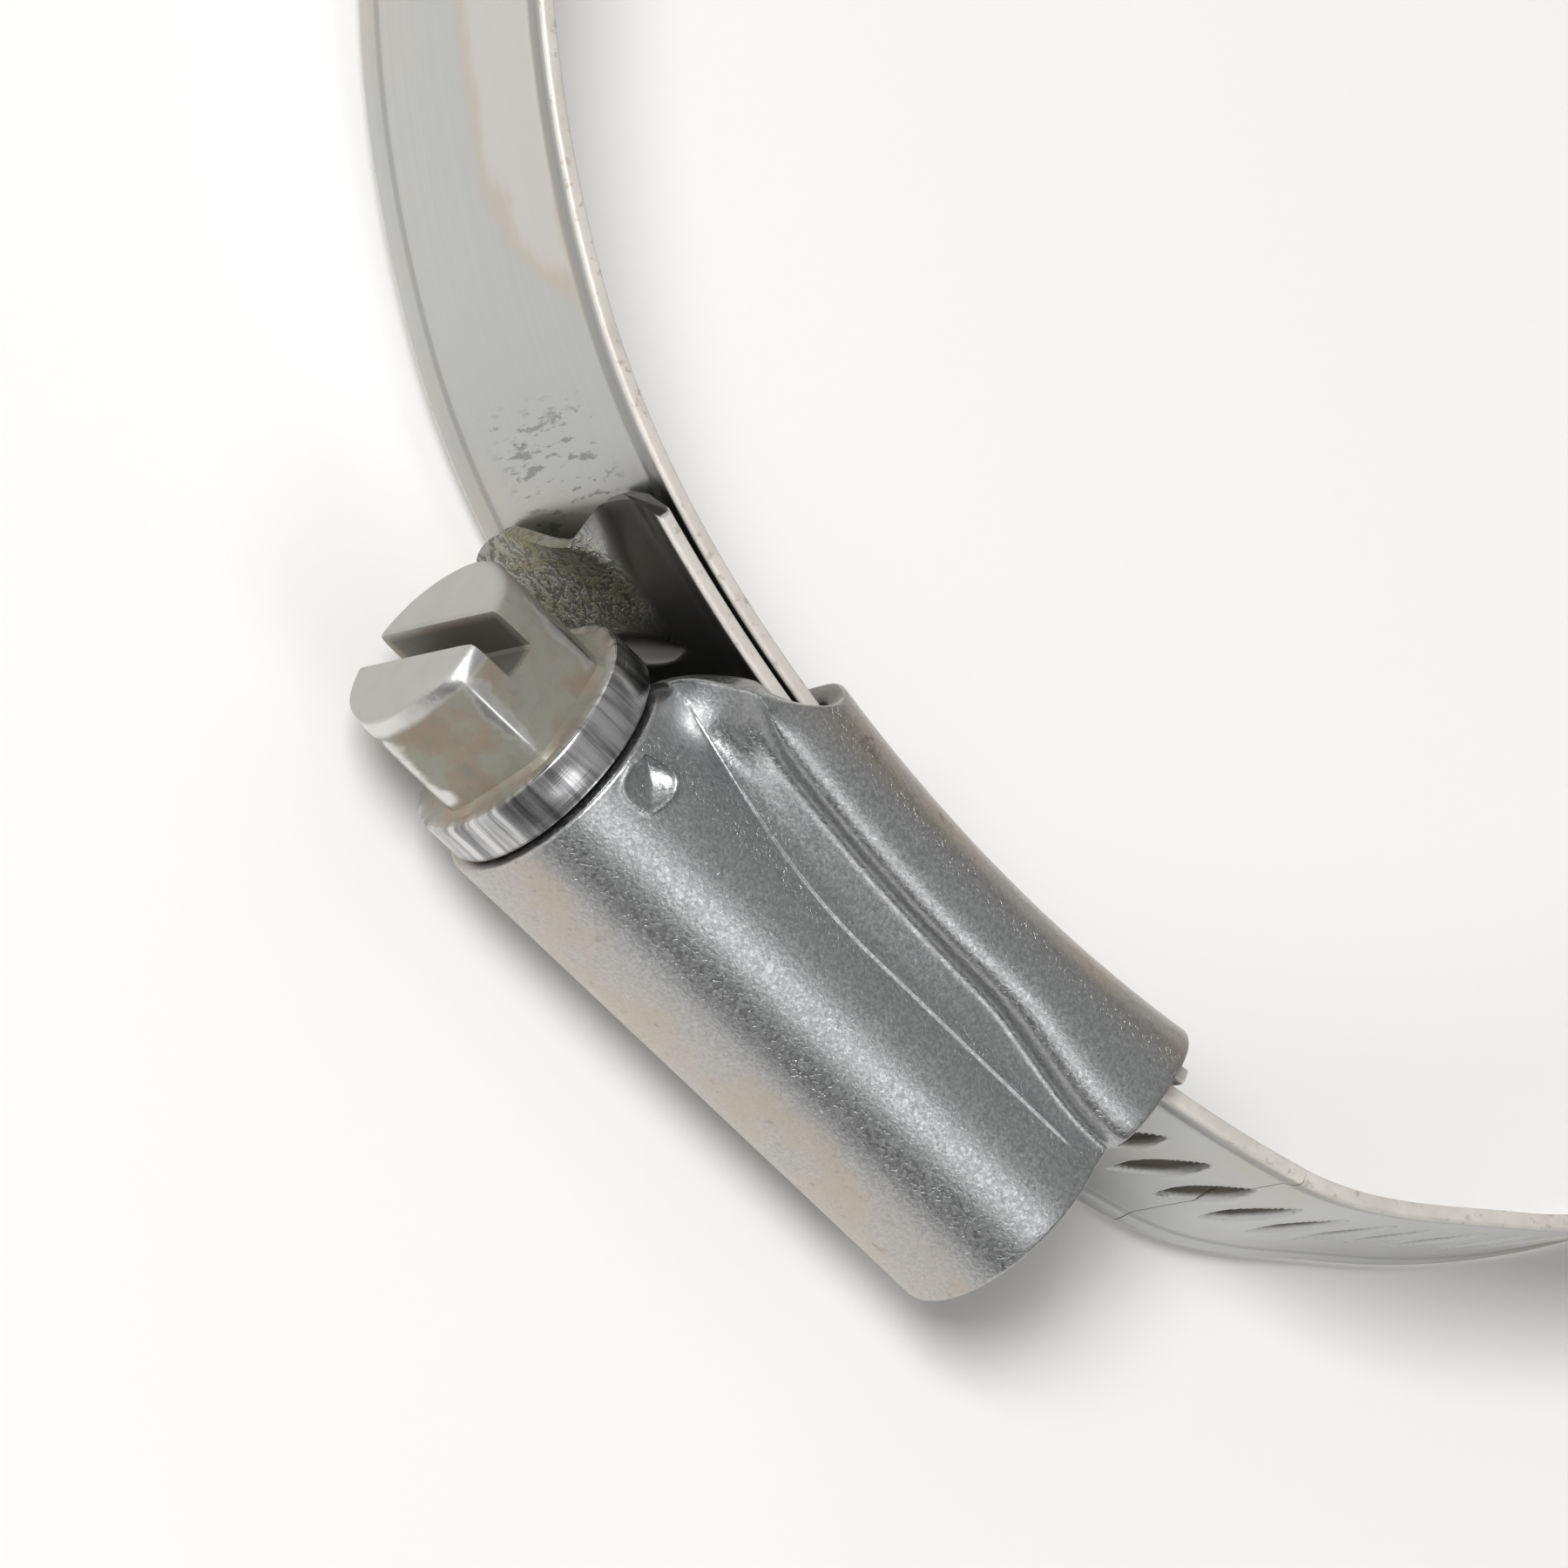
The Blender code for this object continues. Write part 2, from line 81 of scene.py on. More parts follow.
# %% [markdown]
# ## Sizes
#
# Everything here hangs on a few lines of the frame: the screw's axis, the centre that the
# saddle is curved about, and the boxes of the solids. Reading them keeps the surfaces in
# step with the solids. Only sizes that no box can tell are given as numbers.

# %% Sizes read from the frame
MM = 0.001
screw_y = joints["screw_turn"]["pos_m"][1]
saddle_x, saddle_y = joints["band_feed"]["pos_m"][:2]
loop_low, loop_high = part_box("band_loop")
house_low, house_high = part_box("housing")
screw_low, screw_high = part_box("screw")
feed_low, feed_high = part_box("band_threaded_end")
plain_low, plain_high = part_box("band_plain_end")

sheet = 0.5 * MM  # the strip's thickness
lip = 0.15 * MM  # how far its edges stand out
width = loop_high.z - loop_low.z
ring_radius = loop_high.y - sheet - lip
wall = 0.7 * MM  # the housing's thickness
barrel_radius = screw_y - house_low.y
print(f"ring radius {ring_radius / MM:.2f} mm, strip {width / MM:.2f} mm wide")
print(f"barrel radius {barrel_radius / MM:.2f} mm, screw axis at y = {screw_y / MM:.2f} mm")

# %% Radii of the layers in the saddle, about its centre
layer_gap = 0.2 * MM
plate_bend = 46.45 * MM  # the inner face of the plate
plain_bend = plate_bend + wall + layer_gap
feed_bend = plain_bend + sheet + layer_gap
print(f"layers at {plate_bend / MM:.2f}, {plain_bend / MM:.2f} and {feed_bend / MM:.2f} mm")


# %% [markdown]
# ## Two small tools for shapes
#
# Every piece is a grid of points worked out with whole arrays, and then made a mesh in one
# go. A grid may close on itself sideways, as a tube does, and also end to end, as a ring
# does. Where it doesn't close end to end, its two end rows are capped. The signed volume
# tells whether the faces point outwards, and if it is negative they are turned round.

# %% From a grid of points to a mesh
def smooth(value, low, high):
    """A step that eases in and out: 0 below low, 1 above high, and t*t*(3 - 2*t) between."""
    t = np.clip((value - low) / (high - low), 0.0, 1.0)
    return t * t * (3 - 2 * t)


def grid_faces(rows, columns, ring):
    """Quads of a grid whose columns close on themselves, and its rows too if it is a ring."""
    row = np.arange(rows if ring else rows - 1)[:, None]
    column = np.arange(columns)[None, :]
    after, right = (row + 1) % rows, (column + 1) % columns
    quads = np.stack(
        [row * columns + column, row * columns + right, after * columns + right,
         after * columns + column], axis=-1)
    return quads.reshape(-1, 4)


def signed_volume(points, quads):
    """A sixth of the sum of the corner products, over both triangles of each quad."""
    a, b, c, d = (points[quads[:, corner]] for corner in range(4))
    first = np.einsum("ij,ij->i", a, np.cross(b, c)).sum()
    return (first + np.einsum("ij,ij->i", a, np.cross(c, d)).sum()) / 6


def surface(name, grid, ring=False, run=None, worn=None):
    """A mesh object from a (rows, columns, 3) grid. run gives two lengths for each point,
    along the piece and across it, which become its UV map. worn is a share for each point,
    which its finish can read."""
    rows, columns = grid.shape[:2]
    points = grid.reshape(-1, 3)
    quads = grid_faces(rows, columns, ring)
    if signed_volume(points - points.mean(axis=0), quads) < 0:
        quads = quads[:, ::-1]
        turned = True
    else:
        turned = False
    faces = quads.tolist()
    if not ring:
        start = list(range(columns))
        finish = list(range((rows - 1) * columns, rows * columns))
        faces += [start if turned else start[::-1], finish[::-1] if turned else finish]
    mesh = bpy.data.meshes.new(name)
    mesh.from_pydata(points.tolist(), [], faces)
    if run is not None:
        corners = np.empty(len(mesh.loops), np.int32)
        mesh.loops.foreach_get("vertex_index", corners)
        layer = mesh.uv_layers.new(name="run")
        layer.data.foreach_set("uv", run.reshape(-1, 2)[corners].astype(np.float32).ravel())
    if worn is not None:
        layer = mesh.attributes.new("worn", "FLOAT", "POINT")
        layer.data.foreach_set("value", worn.ravel().astype(np.float32))
    mesh.shade_smooth()
    mesh.set_sharp_from_angle(angle=math.radians(50))
    piece = bpy.data.objects.new(name, mesh)
    bpy.context.scene.collection.objects.link(piece)
    print(f"{name}: {len(points)} points, {len(faces)} faces")
    return piece


# %% [markdown]
# ## The strip's section
#
# The strip is rolled flat with its two edges turned outwards, so that they don't cut the
# hose. A sharp rectangle would look like card. Here the section is a rectangle with round
# corners, whose two faces both lift by the same small amount over the last millimetre.

# %% The section, as heights over the inner face and places across the strip
edge_round = 0.13 * MM
lip_run = 0.75 * MM  # the width over which the edge lifts
lip_flat = 0.3 * MM
across_outer = 50
across_inner = 16
corner_steps = 5


def strip_section():
    """Height and z of the closed section: the outer face, an edge, the inner face, an edge.
    Each corner is a quarter circle, and the lift eases from 0 to the lip's height."""
    half = width / 2 - edge_round
    turn = np.linspace(0, math.pi / 2, corner_steps + 1)[1:-1]
    top, low = sheet - edge_round, edge_round
    outer = np.linspace(-half, half, across_outer)
    inner = np.linspace(half, -half, across_inner)
    z = np.concatenate([
        outer, half + edge_round * np.sin(turn), [half + edge_round, half + edge_round],
        half + edge_round * np.cos(turn), inner, -half - edge_round * np.sin(turn),
        [-half - edge_round, -half - edge_round], -half - edge_round * np.cos(turn)])
    height = np.concatenate([
        np.full(across_outer, sheet), top + edge_round * np.cos(turn), [top, low],
        low - edge_round * np.sin(turn), np.zeros(across_inner),
        low - edge_round * np.cos(turn), [low, top], top + edge_round * np.sin(turn)])
    lift = lip * smooth(np.abs(z), width / 2 - lip_flat - lip_run, width / 2 - lip_flat)
    return height + lift, z


section_height, section_z = strip_section()
section_length = np.concatenate([[0.0], np.cumsum(np.hypot(
    np.diff(section_height), np.diff(section_z)))])
outer_face = np.arange(len(section_z)) < across_outer
print(f"section of {len(section_z)} points, {section_length[-1] / MM:.1f} mm round")


# %% [markdown]
# ## The strip's route
#
# Both ends lie in the saddle on arcs about one centre, one over the other. The free ring is
# a circle that eases into those arcs. The easing is a cubic on the height over the circle,
# and it starts with the height and the slope of the arc, so no kink shows where they meet.

# %% Arcs and the easing between them
feed_ease = 7.94 * MM / ring_radius
plain_ease = 12.22 * MM / ring_radius
plain_cut = plain_low.x
feed_cut = feed_high.x
plain_tip = plain_high.x


def arc_turn(bend, x):
    """The direction from the saddle's centre to the point at x on the arc of this radius."""
    return -math.acos((x - saddle_x) / bend)


def arc_points(bend, turn):
    """Points on the arc and their outward normals."""
    normal = np.stack([np.cos(turn), np.sin(turn)], axis=-1)
    return np.array([saddle_x, saddle_y]) + normal * bend, normal


def polar_start(bend, turn):
    """Angle about the ring, height over its circle, and slope, at a point of the arc."""
    point, _ = arc_points(bend, np.array(turn))
    angle, distance = math.atan2(point[1], point[0]), math.hypot(*point)
    return angle, distance - ring_radius, distance * math.tan(angle - turn)


def eased(angle, begin, end, height, slope):
    """2t^3 - 3t^2 + 1 times the height, plus t^3 - 2t^2 + t times the slope's rise."""
    t = np.clip((angle - begin) / (end - begin), 0, 1)
    rise = slope * (end - begin)
    return height * (2 * t**3 - 3 * t**2 + 1) + rise * (t**3 - 2 * t**2 + t)


feed_turn = arc_turn(feed_bend, feed_cut)
plain_turn = arc_turn(plain_bend, plain_cut)
feed_start = polar_start(feed_bend, feed_turn)
plain_start = polar_start(plain_bend, plain_turn)
plain_angle = plain_start[0] + 2 * math.pi


def ring_route(angle):
    """Points of the free ring's inner face, and their outward normals by difference."""
    def place(at):
        height = eased(at, feed_start[0], feed_start[0] + feed_ease, *feed_start[1:])
        height += eased(at, plain_angle, plain_angle - plain_ease, *plain_start[1:])
        radius = ring_radius + height
        return np.stack([np.cos(at), np.sin(at)], axis=-1) * radius[:, None]
    nudge = 1e-4
    along = place(angle + nudge) - place(angle - nudge)
    normal = np.stack([along[:, 1], -along[:, 0]], axis=-1)
    return place(angle), normal / np.linalg.norm(normal, axis=1, keepdims=True)


print(f"ring from {math.degrees(feed_start[0]):.1f} to {math.degrees(plain_angle):.1f} degrees")


# %% [markdown]
# ## The thread in the strip
#
# The worm runs in slanted leaf-shaped dents, pressed into the strip one pitch apart. They
# could be cut with a Boolean, but a formula is smaller and gives soft lips. A leaf is a
# stretch of the strip whose half width shrinks as a parabola towards both points, and its
# depth falls off across that width in the same way.

# %% Depth of the dents
worm_pitch = 1.8 * MM
half_bite = 0.13 * MM  # half of how deep the worm reaches into the strip
pitch = worm_pitch * (feed_bend + sheet / 2) / (feed_bend + sheet - half_bite)
leaf_half_length = 1.9 * MM
leaf_half_width = 0.52 * MM
leaf_centre = 0.2 * MM
leaf_slope = 0.22
leaf_depth = 0.38 * MM
thread_end = 52 * MM  # along the strip, from the bottom of the saddle


def dents(run, z, first):
    """Depth of the nearest leaf as a share, at a run along the strip and a place across it.
    Soft lips stand round each leaf as a share below zero."""
    across = (z - leaf_centre) / leaf_half_length
    half = leaf_half_width * np.clip(1 - across**2, 0, 1)
    slanted = run - leaf_slope * z
    index = np.round(slanted / pitch)
    away = (slanted - index * pitch) / np.maximum(half, 1e-9)
    bowl = np.clip(1 - away**2, 0, 1) * np.clip(1 - across**2, 0, 1) ** 0.4
    lips = 0.06 * np.exp(-((np.abs(away) - 1.2) / 0.25) ** 2) * (np.abs(across) < 1)
    inside = (index * pitch > first) & (index * pitch < thread_end)
    return (bowl - lips) * inside * (half > 1e-6)


def strip_grid(points, normals, run, dented=None):
    """The section carried along a route. The outer face sinks by the dents that come after
    the run given, and the inner face swells a little behind them."""
    z = np.broadcast_to(section_z, (len(points), len(section_z)))
    share = dents(run[:, None], z, dented) if dented is not None else 0 * z
    height = section_height - leaf_depth * share * np.where(outer_face, 1.0, 0.12)
    plane = points[:, None, :] + normals[:, None, :] * height[..., None]
    grid = np.concatenate([plane, z[..., None]], axis=-1)
    lengths = np.stack([np.broadcast_to(run[:, None], z.shape),
                        np.broadcast_to(section_length, z.shape)], axis=-1)
    return grid, lengths, np.clip(share, 0, 1) * outer_face


# %% [markdown]
# ## Three stretches of one strip
#
# On the real clamp this is one piece. Here it is drawn as three, because one part stands
# still, one flexes and one is fed by the screw. They meet edge to edge with the same
# section, and each has closed ends, so a faint line can show where two of them meet. The
# plain stretch runs on along its arc to the solid's tip; the solid's small hook is left out.

# %% The plain stretch, from the top of the ring into the housing
top_angle = math.pi / 2
ring_points, ring_normals = ring_route(np.linspace(top_angle, plain_angle, 200))
saddle_turn = np.linspace(plain_turn, arc_turn(plain_bend, plain_tip), 40)[1:]
saddle_points, saddle_normals = arc_points(plain_bend, saddle_turn)
plain_points = np.concatenate([ring_points, saddle_points])
plain_normals = np.concatenate([ring_normals, saddle_normals])
plain_steps = np.linalg.norm(np.diff(plain_points, axis=0), axis=1)
plain_run = np.concatenate([[0.0], np.cumsum(plain_steps)])
plain_grid, plain_uv, plain_dent_share = strip_grid(plain_points, plain_normals, plain_run)
plain_strip = surface("plain_strip", plain_grid, run=plain_uv, worn=plain_dent_share)

# %% The flexing stretch, from the housing up to the top of the ring
flex_start = (feed_bend + sheet / 2) * (feed_turn + math.pi / 2)
thread_angle = feed_start[0] + (thread_end - flex_start) / ring_radius + 0.05
flex_angle = np.concatenate([
    np.linspace(feed_start[0], thread_angle, 560)[:-1], np.linspace(thread_angle, top_angle, 90)])
flex_points, flex_normals = ring_route(flex_angle)
middle = flex_points + flex_normals * sheet / 2
flex_run = flex_start + np.concatenate([
    [0.0], np.cumsum(np.linalg.norm(np.diff(middle, axis=0), axis=1))])
tail_run = -(feed_bend + sheet / 2) * (arc_turn(feed_bend, feed_low.x + 2 * pitch) + math.pi / 2)
flex_grid, flex_uv, flex_dent_share = strip_grid(flex_points, flex_normals, flex_run, dented=-tail_run)
flex_strip = surface("flexing_strip", flex_grid, run=flex_uv, worn=flex_dent_share)

# %% [markdown]
# ## The fed end and its tail
#
# The tail of the fed end is bent up so that the strip can't slip back through the housing.
# The bend was struck over two thirds of the width only: the lip climbs evenly from one side
# and drops steeply to the flat third, which leaves a fin beside it, darkened by painted shade.

# %% The fed stretch
tail_rise = 1.2 * MM
tail_bend_run = 2.8 * MM
tail_tip = -16.42 * MM
tail_corner = 0.9 * MM
tail_drawn_in = 0.6 * MM


def lip_share(z):
    """The lip's height across the strip: an even climb, and an eased drop to the fin."""
    climb = np.clip((z + 2.7 * MM) / (4.0 * MM), 0, 1)
    return climb * (1 + 0.5 * climb * (1 - climb)) * (1 - smooth(z, 1.3 * MM, 2.15 * MM))


def fed_stretch():
    """The section on the saddle's arc. Each column ends a little earlier where the lip was
    drawn in and at the corners, and rises by a square law towards the tip."""
    share = np.linspace(0, 1, 480)[:, None]
    finish = arc_turn(feed_bend, tail_tip)
    early = tail_corner * (2 * np.abs(section_z) / width) ** 8
    early = (early + tail_drawn_in * lip_share(section_z)) / feed_bend
    turn = feed_turn + share * (finish + early[None, :] - feed_turn)
    run = (feed_bend + sheet / 2) * (turn + math.pi / 2)
    last = run[-1:, :]
    bent = np.clip(1 - (run - last) / tail_bend_run, 0, 1) ** 2
    z = np.broadcast_to(section_z, turn.shape)
    dent = dents(run, z, -tail_run)
    height = section_height + tail_rise * bent * lip_share(z)
    bend = feed_bend + height - leaf_depth * dent * np.where(outer_face, 1.0, 0.12)
    x, y = saddle_x + bend * np.cos(turn), saddle_y + bend * np.sin(turn)
    lengths = np.stack([run, np.broadcast_to(section_length, run.shape)], axis=-1)
    return np.stack([x, y, z], axis=-1), lengths, np.clip(dent, 0, 1) * outer_face


fed_grid, fed_uv, fed_dent_share = fed_stretch()
fed_strip = surface("fed_strip", fed_grid, run=fed_uv, worn=fed_dent_share)
print(f"solid tail ends at x = {feed_low.x / MM:.2f} mm, this one at {tail_tip / MM:.2f} mm")


# %% [markdown]
# ## The screw
#
# The screw is one turned and forged piece: tip, worm, neck, collar and a hexagon with a
# slot. A single profile gives a radius for each place along the axis, and two formulas
# change that radius with the angle: the worm adds its helix, and the hexagon cuts the
# circle down to six flats. The blend between a flat and a circle is a p-norm of the two
# radii, which leaves the worn, rounded corners of a screw that spanners have turned.

# %% Sizes of the screw
crest = 3.25 * MM
thread_depth = 0.55 * MM
neck = 2.4 * MM
tip_radius = 2.2 * MM
collar = 3.85 * MM
flat = 3.0 * MM  # from the axis to a flat
corner = 3.37 * MM  # worn down from the sharp corner's 3.46 mm
hex_turn = math.radians(27)
mouth_x = house_low.x
collar_back = mouth_x - 0.2 * MM
collar_front = collar_back - 1.5 * MM
head_end = screw_low.x
neck_end = mouth_x + 1.65 * MM
worm_end = screw_high.x - 1.0 * MM
around = 168
hex_power = 26  # a lower power wears the corners rounder


def screw_angles():
    """Angles round the axis, crowded towards the hexagon's corners by a sine."""
    even = np.linspace(0, 2 * math.pi, around, endpoint=False)
    return even - 0.72 / 6 * np.sin(6 * (even - hex_turn - math.pi / 6))


def screw_profile():
    """Stations along the axis: x, radius, the worm's share and the hexagon's share."""
    worm_x = np.linspace(worm_end, neck_end, 240)
    fade = np.clip(np.minimum(worm_end - worm_x, worm_x - neck_end) / pitch, 0, 1)
    dome = np.linspace(0, math.pi / 2, 14)
    head_x = np.linspace(collar_front - 0.3 * MM, head_end + 1.2 * MM, 16)
    stations = [(screw_high.x, 0.02 * MM, 0, 0), (screw_high.x, 1.0 * MM, 0, 0),
                (screw_high.x, tip_radius - 0.3 * MM, 0, 0),
                (screw_high.x - 0.12 * MM, tip_radius - 0.08 * MM, 0, 0),
                (screw_high.x - 0.3 * MM, tip_radius, 0, 0),
                (worm_end + 0.15 * MM, tip_radius, 0, 0)]
    stations += [(x, crest - thread_depth, share, 0) for x, share in zip(worm_x, fade)]
    stations += [(neck_end - 0.25 * MM, neck, 0, 0), (collar_back + 0.1 * MM, neck, 0, 0),
                 (collar_back, neck + 0.1 * MM, 0, 0), (collar_back, collar - 0.15 * MM, 0, 0),
                 (collar_back - 0.05 * MM, collar - 0.05 * MM, 0, 0),
                 (collar_back - 0.15 * MM, collar, 0, 0), (collar_front + 0.12 * MM, collar, 0, 0),
                 (collar_front + 0.04 * MM, collar - 0.04 * MM, 0, 0),
                 (collar_front, collar - 0.12 * MM, 0, 0),
                 (collar_front - 0.02 * MM, corner + 0.16 * MM, 0, 0.35),
                 (collar_front - 0.14 * MM, corner + 0.12 * MM, 0, 0.8),
                 (collar_front - 0.2 * MM, corner + 0.02 * MM, 0, 1)]
    stations += [(x, corner, 0, 1) for x in head_x]
    stations += [(head_end + 1.2 * MM * (1 - math.sin(turn)),
                  2.55 * MM + (corner - 2.55 * MM) * math.cos(turn) ** 0.8, 0, 1)
                 for turn in dome[1:]]
    stations += [(head_end, 1.5 * MM, 0, 0.3), (head_end, 0.02 * MM, 0, 0)]
    return np.array(stations)


def helix(x, angle):
    """Height of the worm: a flat crest, two straight flanks and a flat root, by the place
    within one pitch, which shifts by a whole pitch with each turn about the axis."""
    phase = (x - saddle_x) / worm_pitch - angle / (2 * math.pi)
    away = np.abs((phase + 0.5) % 1.0 - 0.5)
    return thread_depth * np.clip((0.24 - away) / 0.16, 0, 1)


def screw_grid():
    """Rows are stations and columns are angles. The hexagon's radius at an angle is the
    flat's distance over the cosine from the nearest flat's middle."""
    profile, angle = screw_profile(), screw_angles()
    x, radius, worm_share, hex_share = (profile[:, i][:, None] for i in range(4))
    radius = radius + worm_share * helix(x, angle[None, :])
    from_flat = (angle - hex_turn + math.pi / 6) % (math.pi / 3) - math.pi / 6
    hexagon = np.broadcast_to(flat / np.cos(from_flat)[None, :], radius.shape)
    worn = (hexagon ** -hex_power + np.maximum(radius, 1e-6) ** -hex_power) ** (-1 / hex_power)
    radius = radius * (1 - hex_share) + worn * hex_share
    y, z = screw_y - radius * np.cos(angle), radius * np.sin(angle)
    return np.stack([np.broadcast_to(x, y.shape), y, z], axis=-1)


screw = surface("worm_screw", screw_grid())

# %% [markdown]
# ### The driver slot
#
# The slot is milled straight across two opposite flats. A Boolean cuts it cleanly through
# the rounded head, which a formula in angles can't do. The cutter flares where it leaves
# the end face, so that the slot gets the small worn lips of a used screw.

# %% Cutting the slot
slot_half = 0.62 * MM
slot_depth = 1.65 * MM
slot_lip = 0.1 * MM


def slot_cutter():
    """A trapezoid with a flared mouth, carried straight across the head."""
    turn = hex_turn + math.pi / 3
    run = np.array([0, -math.cos(turn), math.sin(turn)]) * 6 * MM
    side = np.array([0, math.sin(turn), math.cos(turn)])
    floor = head_end + slot_depth
    outline = np.array([
        [floor, slot_half - slot_lip], [floor - slot_lip, slot_half],
        [head_end + slot_lip, slot_half], [head_end - slot_lip / 4, slot_half + slot_lip],
        [head_end - 4 * slot_lip, slot_half + slot_lip]])
    outline = np.concatenate([outline, outline[::-1] * [1, -1]])
    base = np.outer(outline[:, 0], [1, 0, 0]) + np.outer(outline[:, 1], side)
    base = base + np.array([0, screw_y, 0])
    return surface("slot_cutter", np.stack([base - run, base + run]))


def baked(piece):
    """The piece's mesh with its modifiers worked in, and the modifiers taken off."""
    graph = bpy.context.evaluated_depsgraph_get()
    mesh = bpy.data.meshes.new_from_object(piece.evaluated_get(graph))
    piece.modifiers.clear()
    piece.data = mesh
    return piece


cutter = slot_cutter()
cut = screw.modifiers.new("slot", "BOOLEAN")
cut.operation, cut.object, cut.solver = "DIFFERENCE", cutter, "EXACT"
bpy.context.view_layer.update()
baked(screw)
bpy.data.objects.remove(cutter)
screw.data.shade_smooth()
screw.data.set_sharp_from_angle(angle=math.radians(32))
print(f"screw: {len(screw.data.polygons)} faces after the slot is cut")


# %% [markdown]
# ## The housing
#
# The housing is one sheet, pressed round the strip and the screw. Its outline changes along
# the screw: at the head the roof slopes from the side walls straight up to the barrel, and
# towards the far end it becomes a round shoulder with a sharp valley beside the barrel.
# A loft of two fixed outlines can't follow both creases, so each stretch of the outline is
# worked out at every place along the housing, and the whole sheet is one closed grid: the
# outside, the far rim, the inside and the head rim.

# %% Creases of the housing
half_wide = 5.6 * MM
plate_round = 1.7 * MM
roof_bend = 49.85 * MM
crease_half = 4.5 * MM  # half the valleys' distance in the middle of the housing
head_spread = 1.05 * MM  # how much further apart they are at the head
barrel_crease = 0.3 * MM  # the barrel's crease, from the screw's axis towards the plate
crease_rise = 0.031 / MM
fillet = 0.32 * MM
ridge_height = 0.085 * MM  # a raised line along the barrel's crease
ridge_width = 0.12 * MM


def valley_half(x):
    """Half the distance between the two valleys. It widens by a square law towards the
    head and closes in a little towards the far end."""
    spread = np.clip((-8 * MM - x) / (2.9 * MM), 0, 1.1) ** 2
    far = 0.42 * MM * smooth(x, -3 * MM, 7 * MM)
    return np.minimum(crease_half - far + head_spread * spread, 5.5 * MM)


def valley_bend(x):
    """The valley's place about the saddle's centre: it sinks beside the barrel's side
    towards the far end, where the flat between the two creases runs out."""
    return roof_bend + 1.1 * MM * smooth(x, 0.5 * MM, 7 * MM)


def crease_angle(x, inset):
    """The angle, from straight out, at which the barrel meets the flank. Inside the sheet
    it lies further round, and most so at the head, where the crease climbs to the plate."""
    rise = barrel_crease + crease_rise * np.clip(-3 * MM - x, 0, 9 * MM) ** 2
    angle = np.arccos(np.clip(-rise / barrel_radius, -1, 1))
    head = smooth(-x, 3 * MM, 11 * MM)
    return angle + inset / wall * np.radians(6 + 11 * head)


# %% The outline
plate_steps, corner_count, shoulder_steps, flank_steps = 9, 11, 20, 14
mark_angle = math.radians(79.6)
mark_x = -11.66 * MM


def barrel_shares():
    """Shares of the barrel's arc from the crease to the top, crowded round the punch mark."""
    return np.concatenate([np.linspace(0, 0.1, 16, endpoint=False),
                           np.linspace(0.1, 0.5, 52, endpoint=False),
                           np.linspace(0.5, 1, 27)])[1:]


barrel_share = barrel_shares()


def on_arc(bend, x):
    """y of the saddle's arc of this radius at x."""
    return saddle_y - np.sqrt(bend**2 - (x - saddle_x) ** 2)


def bezier(a, b, c, t):
    """The parabola from a to c that leaves a towards b."""
    return (1 - t) ** 2 * a + 2 * t * (1 - t) * b + t**2 * c


def half_outline(x, inset):
    """y and z of the half with z above 0, from the middle of the plate to the barrel's top.
    x and inset are grids whose columns are the outline's points."""
    stops = np.cumsum([plate_steps, corner_count, shoulder_steps, flank_steps])
    plate, round_, shoulder, flank, barrel = np.split(np.arange(x.shape[1]), stops)
    y, z = np.empty(x.shape), np.empty(x.shape)
    centre = plate_bend + plate_round
    # plate
    t = np.linspace(0, 1, plate_steps, endpoint=False)
    y[:, plate] = on_arc(plate_bend + inset[:, plate], x[:, plate])
    z[:, plate] = t * (half_wide - plate_round)
    # lower corner
    turn = np.linspace(0, math.pi / 2, corner_count, endpoint=False)
    radius = plate_round - inset[:, round_]
    y[:, round_] = on_arc(centre - radius * np.cos(turn), x[:, round_])
    z[:, round_] = half_wide - plate_round + radius * np.sin(turn)
    # shoulder: a superellipse that ends one fillet short of the valley
    turn = np.linspace(0, math.pi / 2, shoulder_steps)
    power = 2 / np.where(inset[:, shoulder] > wall / 2, 3.0, 2.25)
    low = valley_half(x[:, shoulder]) - inset[:, shoulder]
    low = np.minimum(low + fillet, half_wide - inset[:, shoulder] - 0.04 * MM)
    rise = valley_bend(x[:, shoulder]) - inset[:, shoulder] - centre
    y[:, shoulder] = on_arc(centre + rise * np.sin(turn) ** power, x[:, shoulder])
    span = half_wide - inset[:, shoulder] - low
    z[:, shoulder] = low + span * np.clip(np.cos(turn), 0, 1) ** power
    # flank: a fillet in the valley, then straight to the barrel
    xf, inf = x[:, flank], inset[:, flank]
    valley_y, valley_z = on_arc(valley_bend(xf) - inf, xf), valley_half(xf) - inf
    start_z = np.minimum(valley_z + fillet, half_wide - inf - 0.04 * MM)
    meet = crease_angle(xf, inf)
    meet_y = screw_y - (barrel_radius - inf) * np.cos(meet)
    meet_z = (barrel_radius - inf) * np.sin(meet)
    length = np.hypot(meet_y - valley_y, meet_z - valley_z)
    share = np.minimum(fillet / length, 0.45)
    after_y = valley_y + (meet_y - valley_y) * share
    after_z = valley_z + (meet_z - valley_z) * share
    steps = np.arange(1, flank_steps + 1)
    bent = np.clip(steps / 7, 0, 1)
    straight = np.clip((steps - 7) / (flank_steps - 7), 0, 1)
    y[:, flank] = np.where(steps <= 7, bezier(valley_y, valley_y, after_y, bent),
                           after_y + (meet_y - after_y) * straight)
    z[:, flank] = np.where(steps <= 7, bezier(start_z, valley_z, after_z, bent),
                           after_z + (meet_z - after_z) * straight)
    # barrel
    xb, inb = x[:, barrel], inset[:, barrel]
    angle = crease_angle(xb, inb) * (1 - barrel_share)
    y[:, barrel] = screw_y - (barrel_radius - inb) * np.cos(angle)
    z[:, barrel] = (barrel_radius - inb) * np.sin(angle)
    return y, z


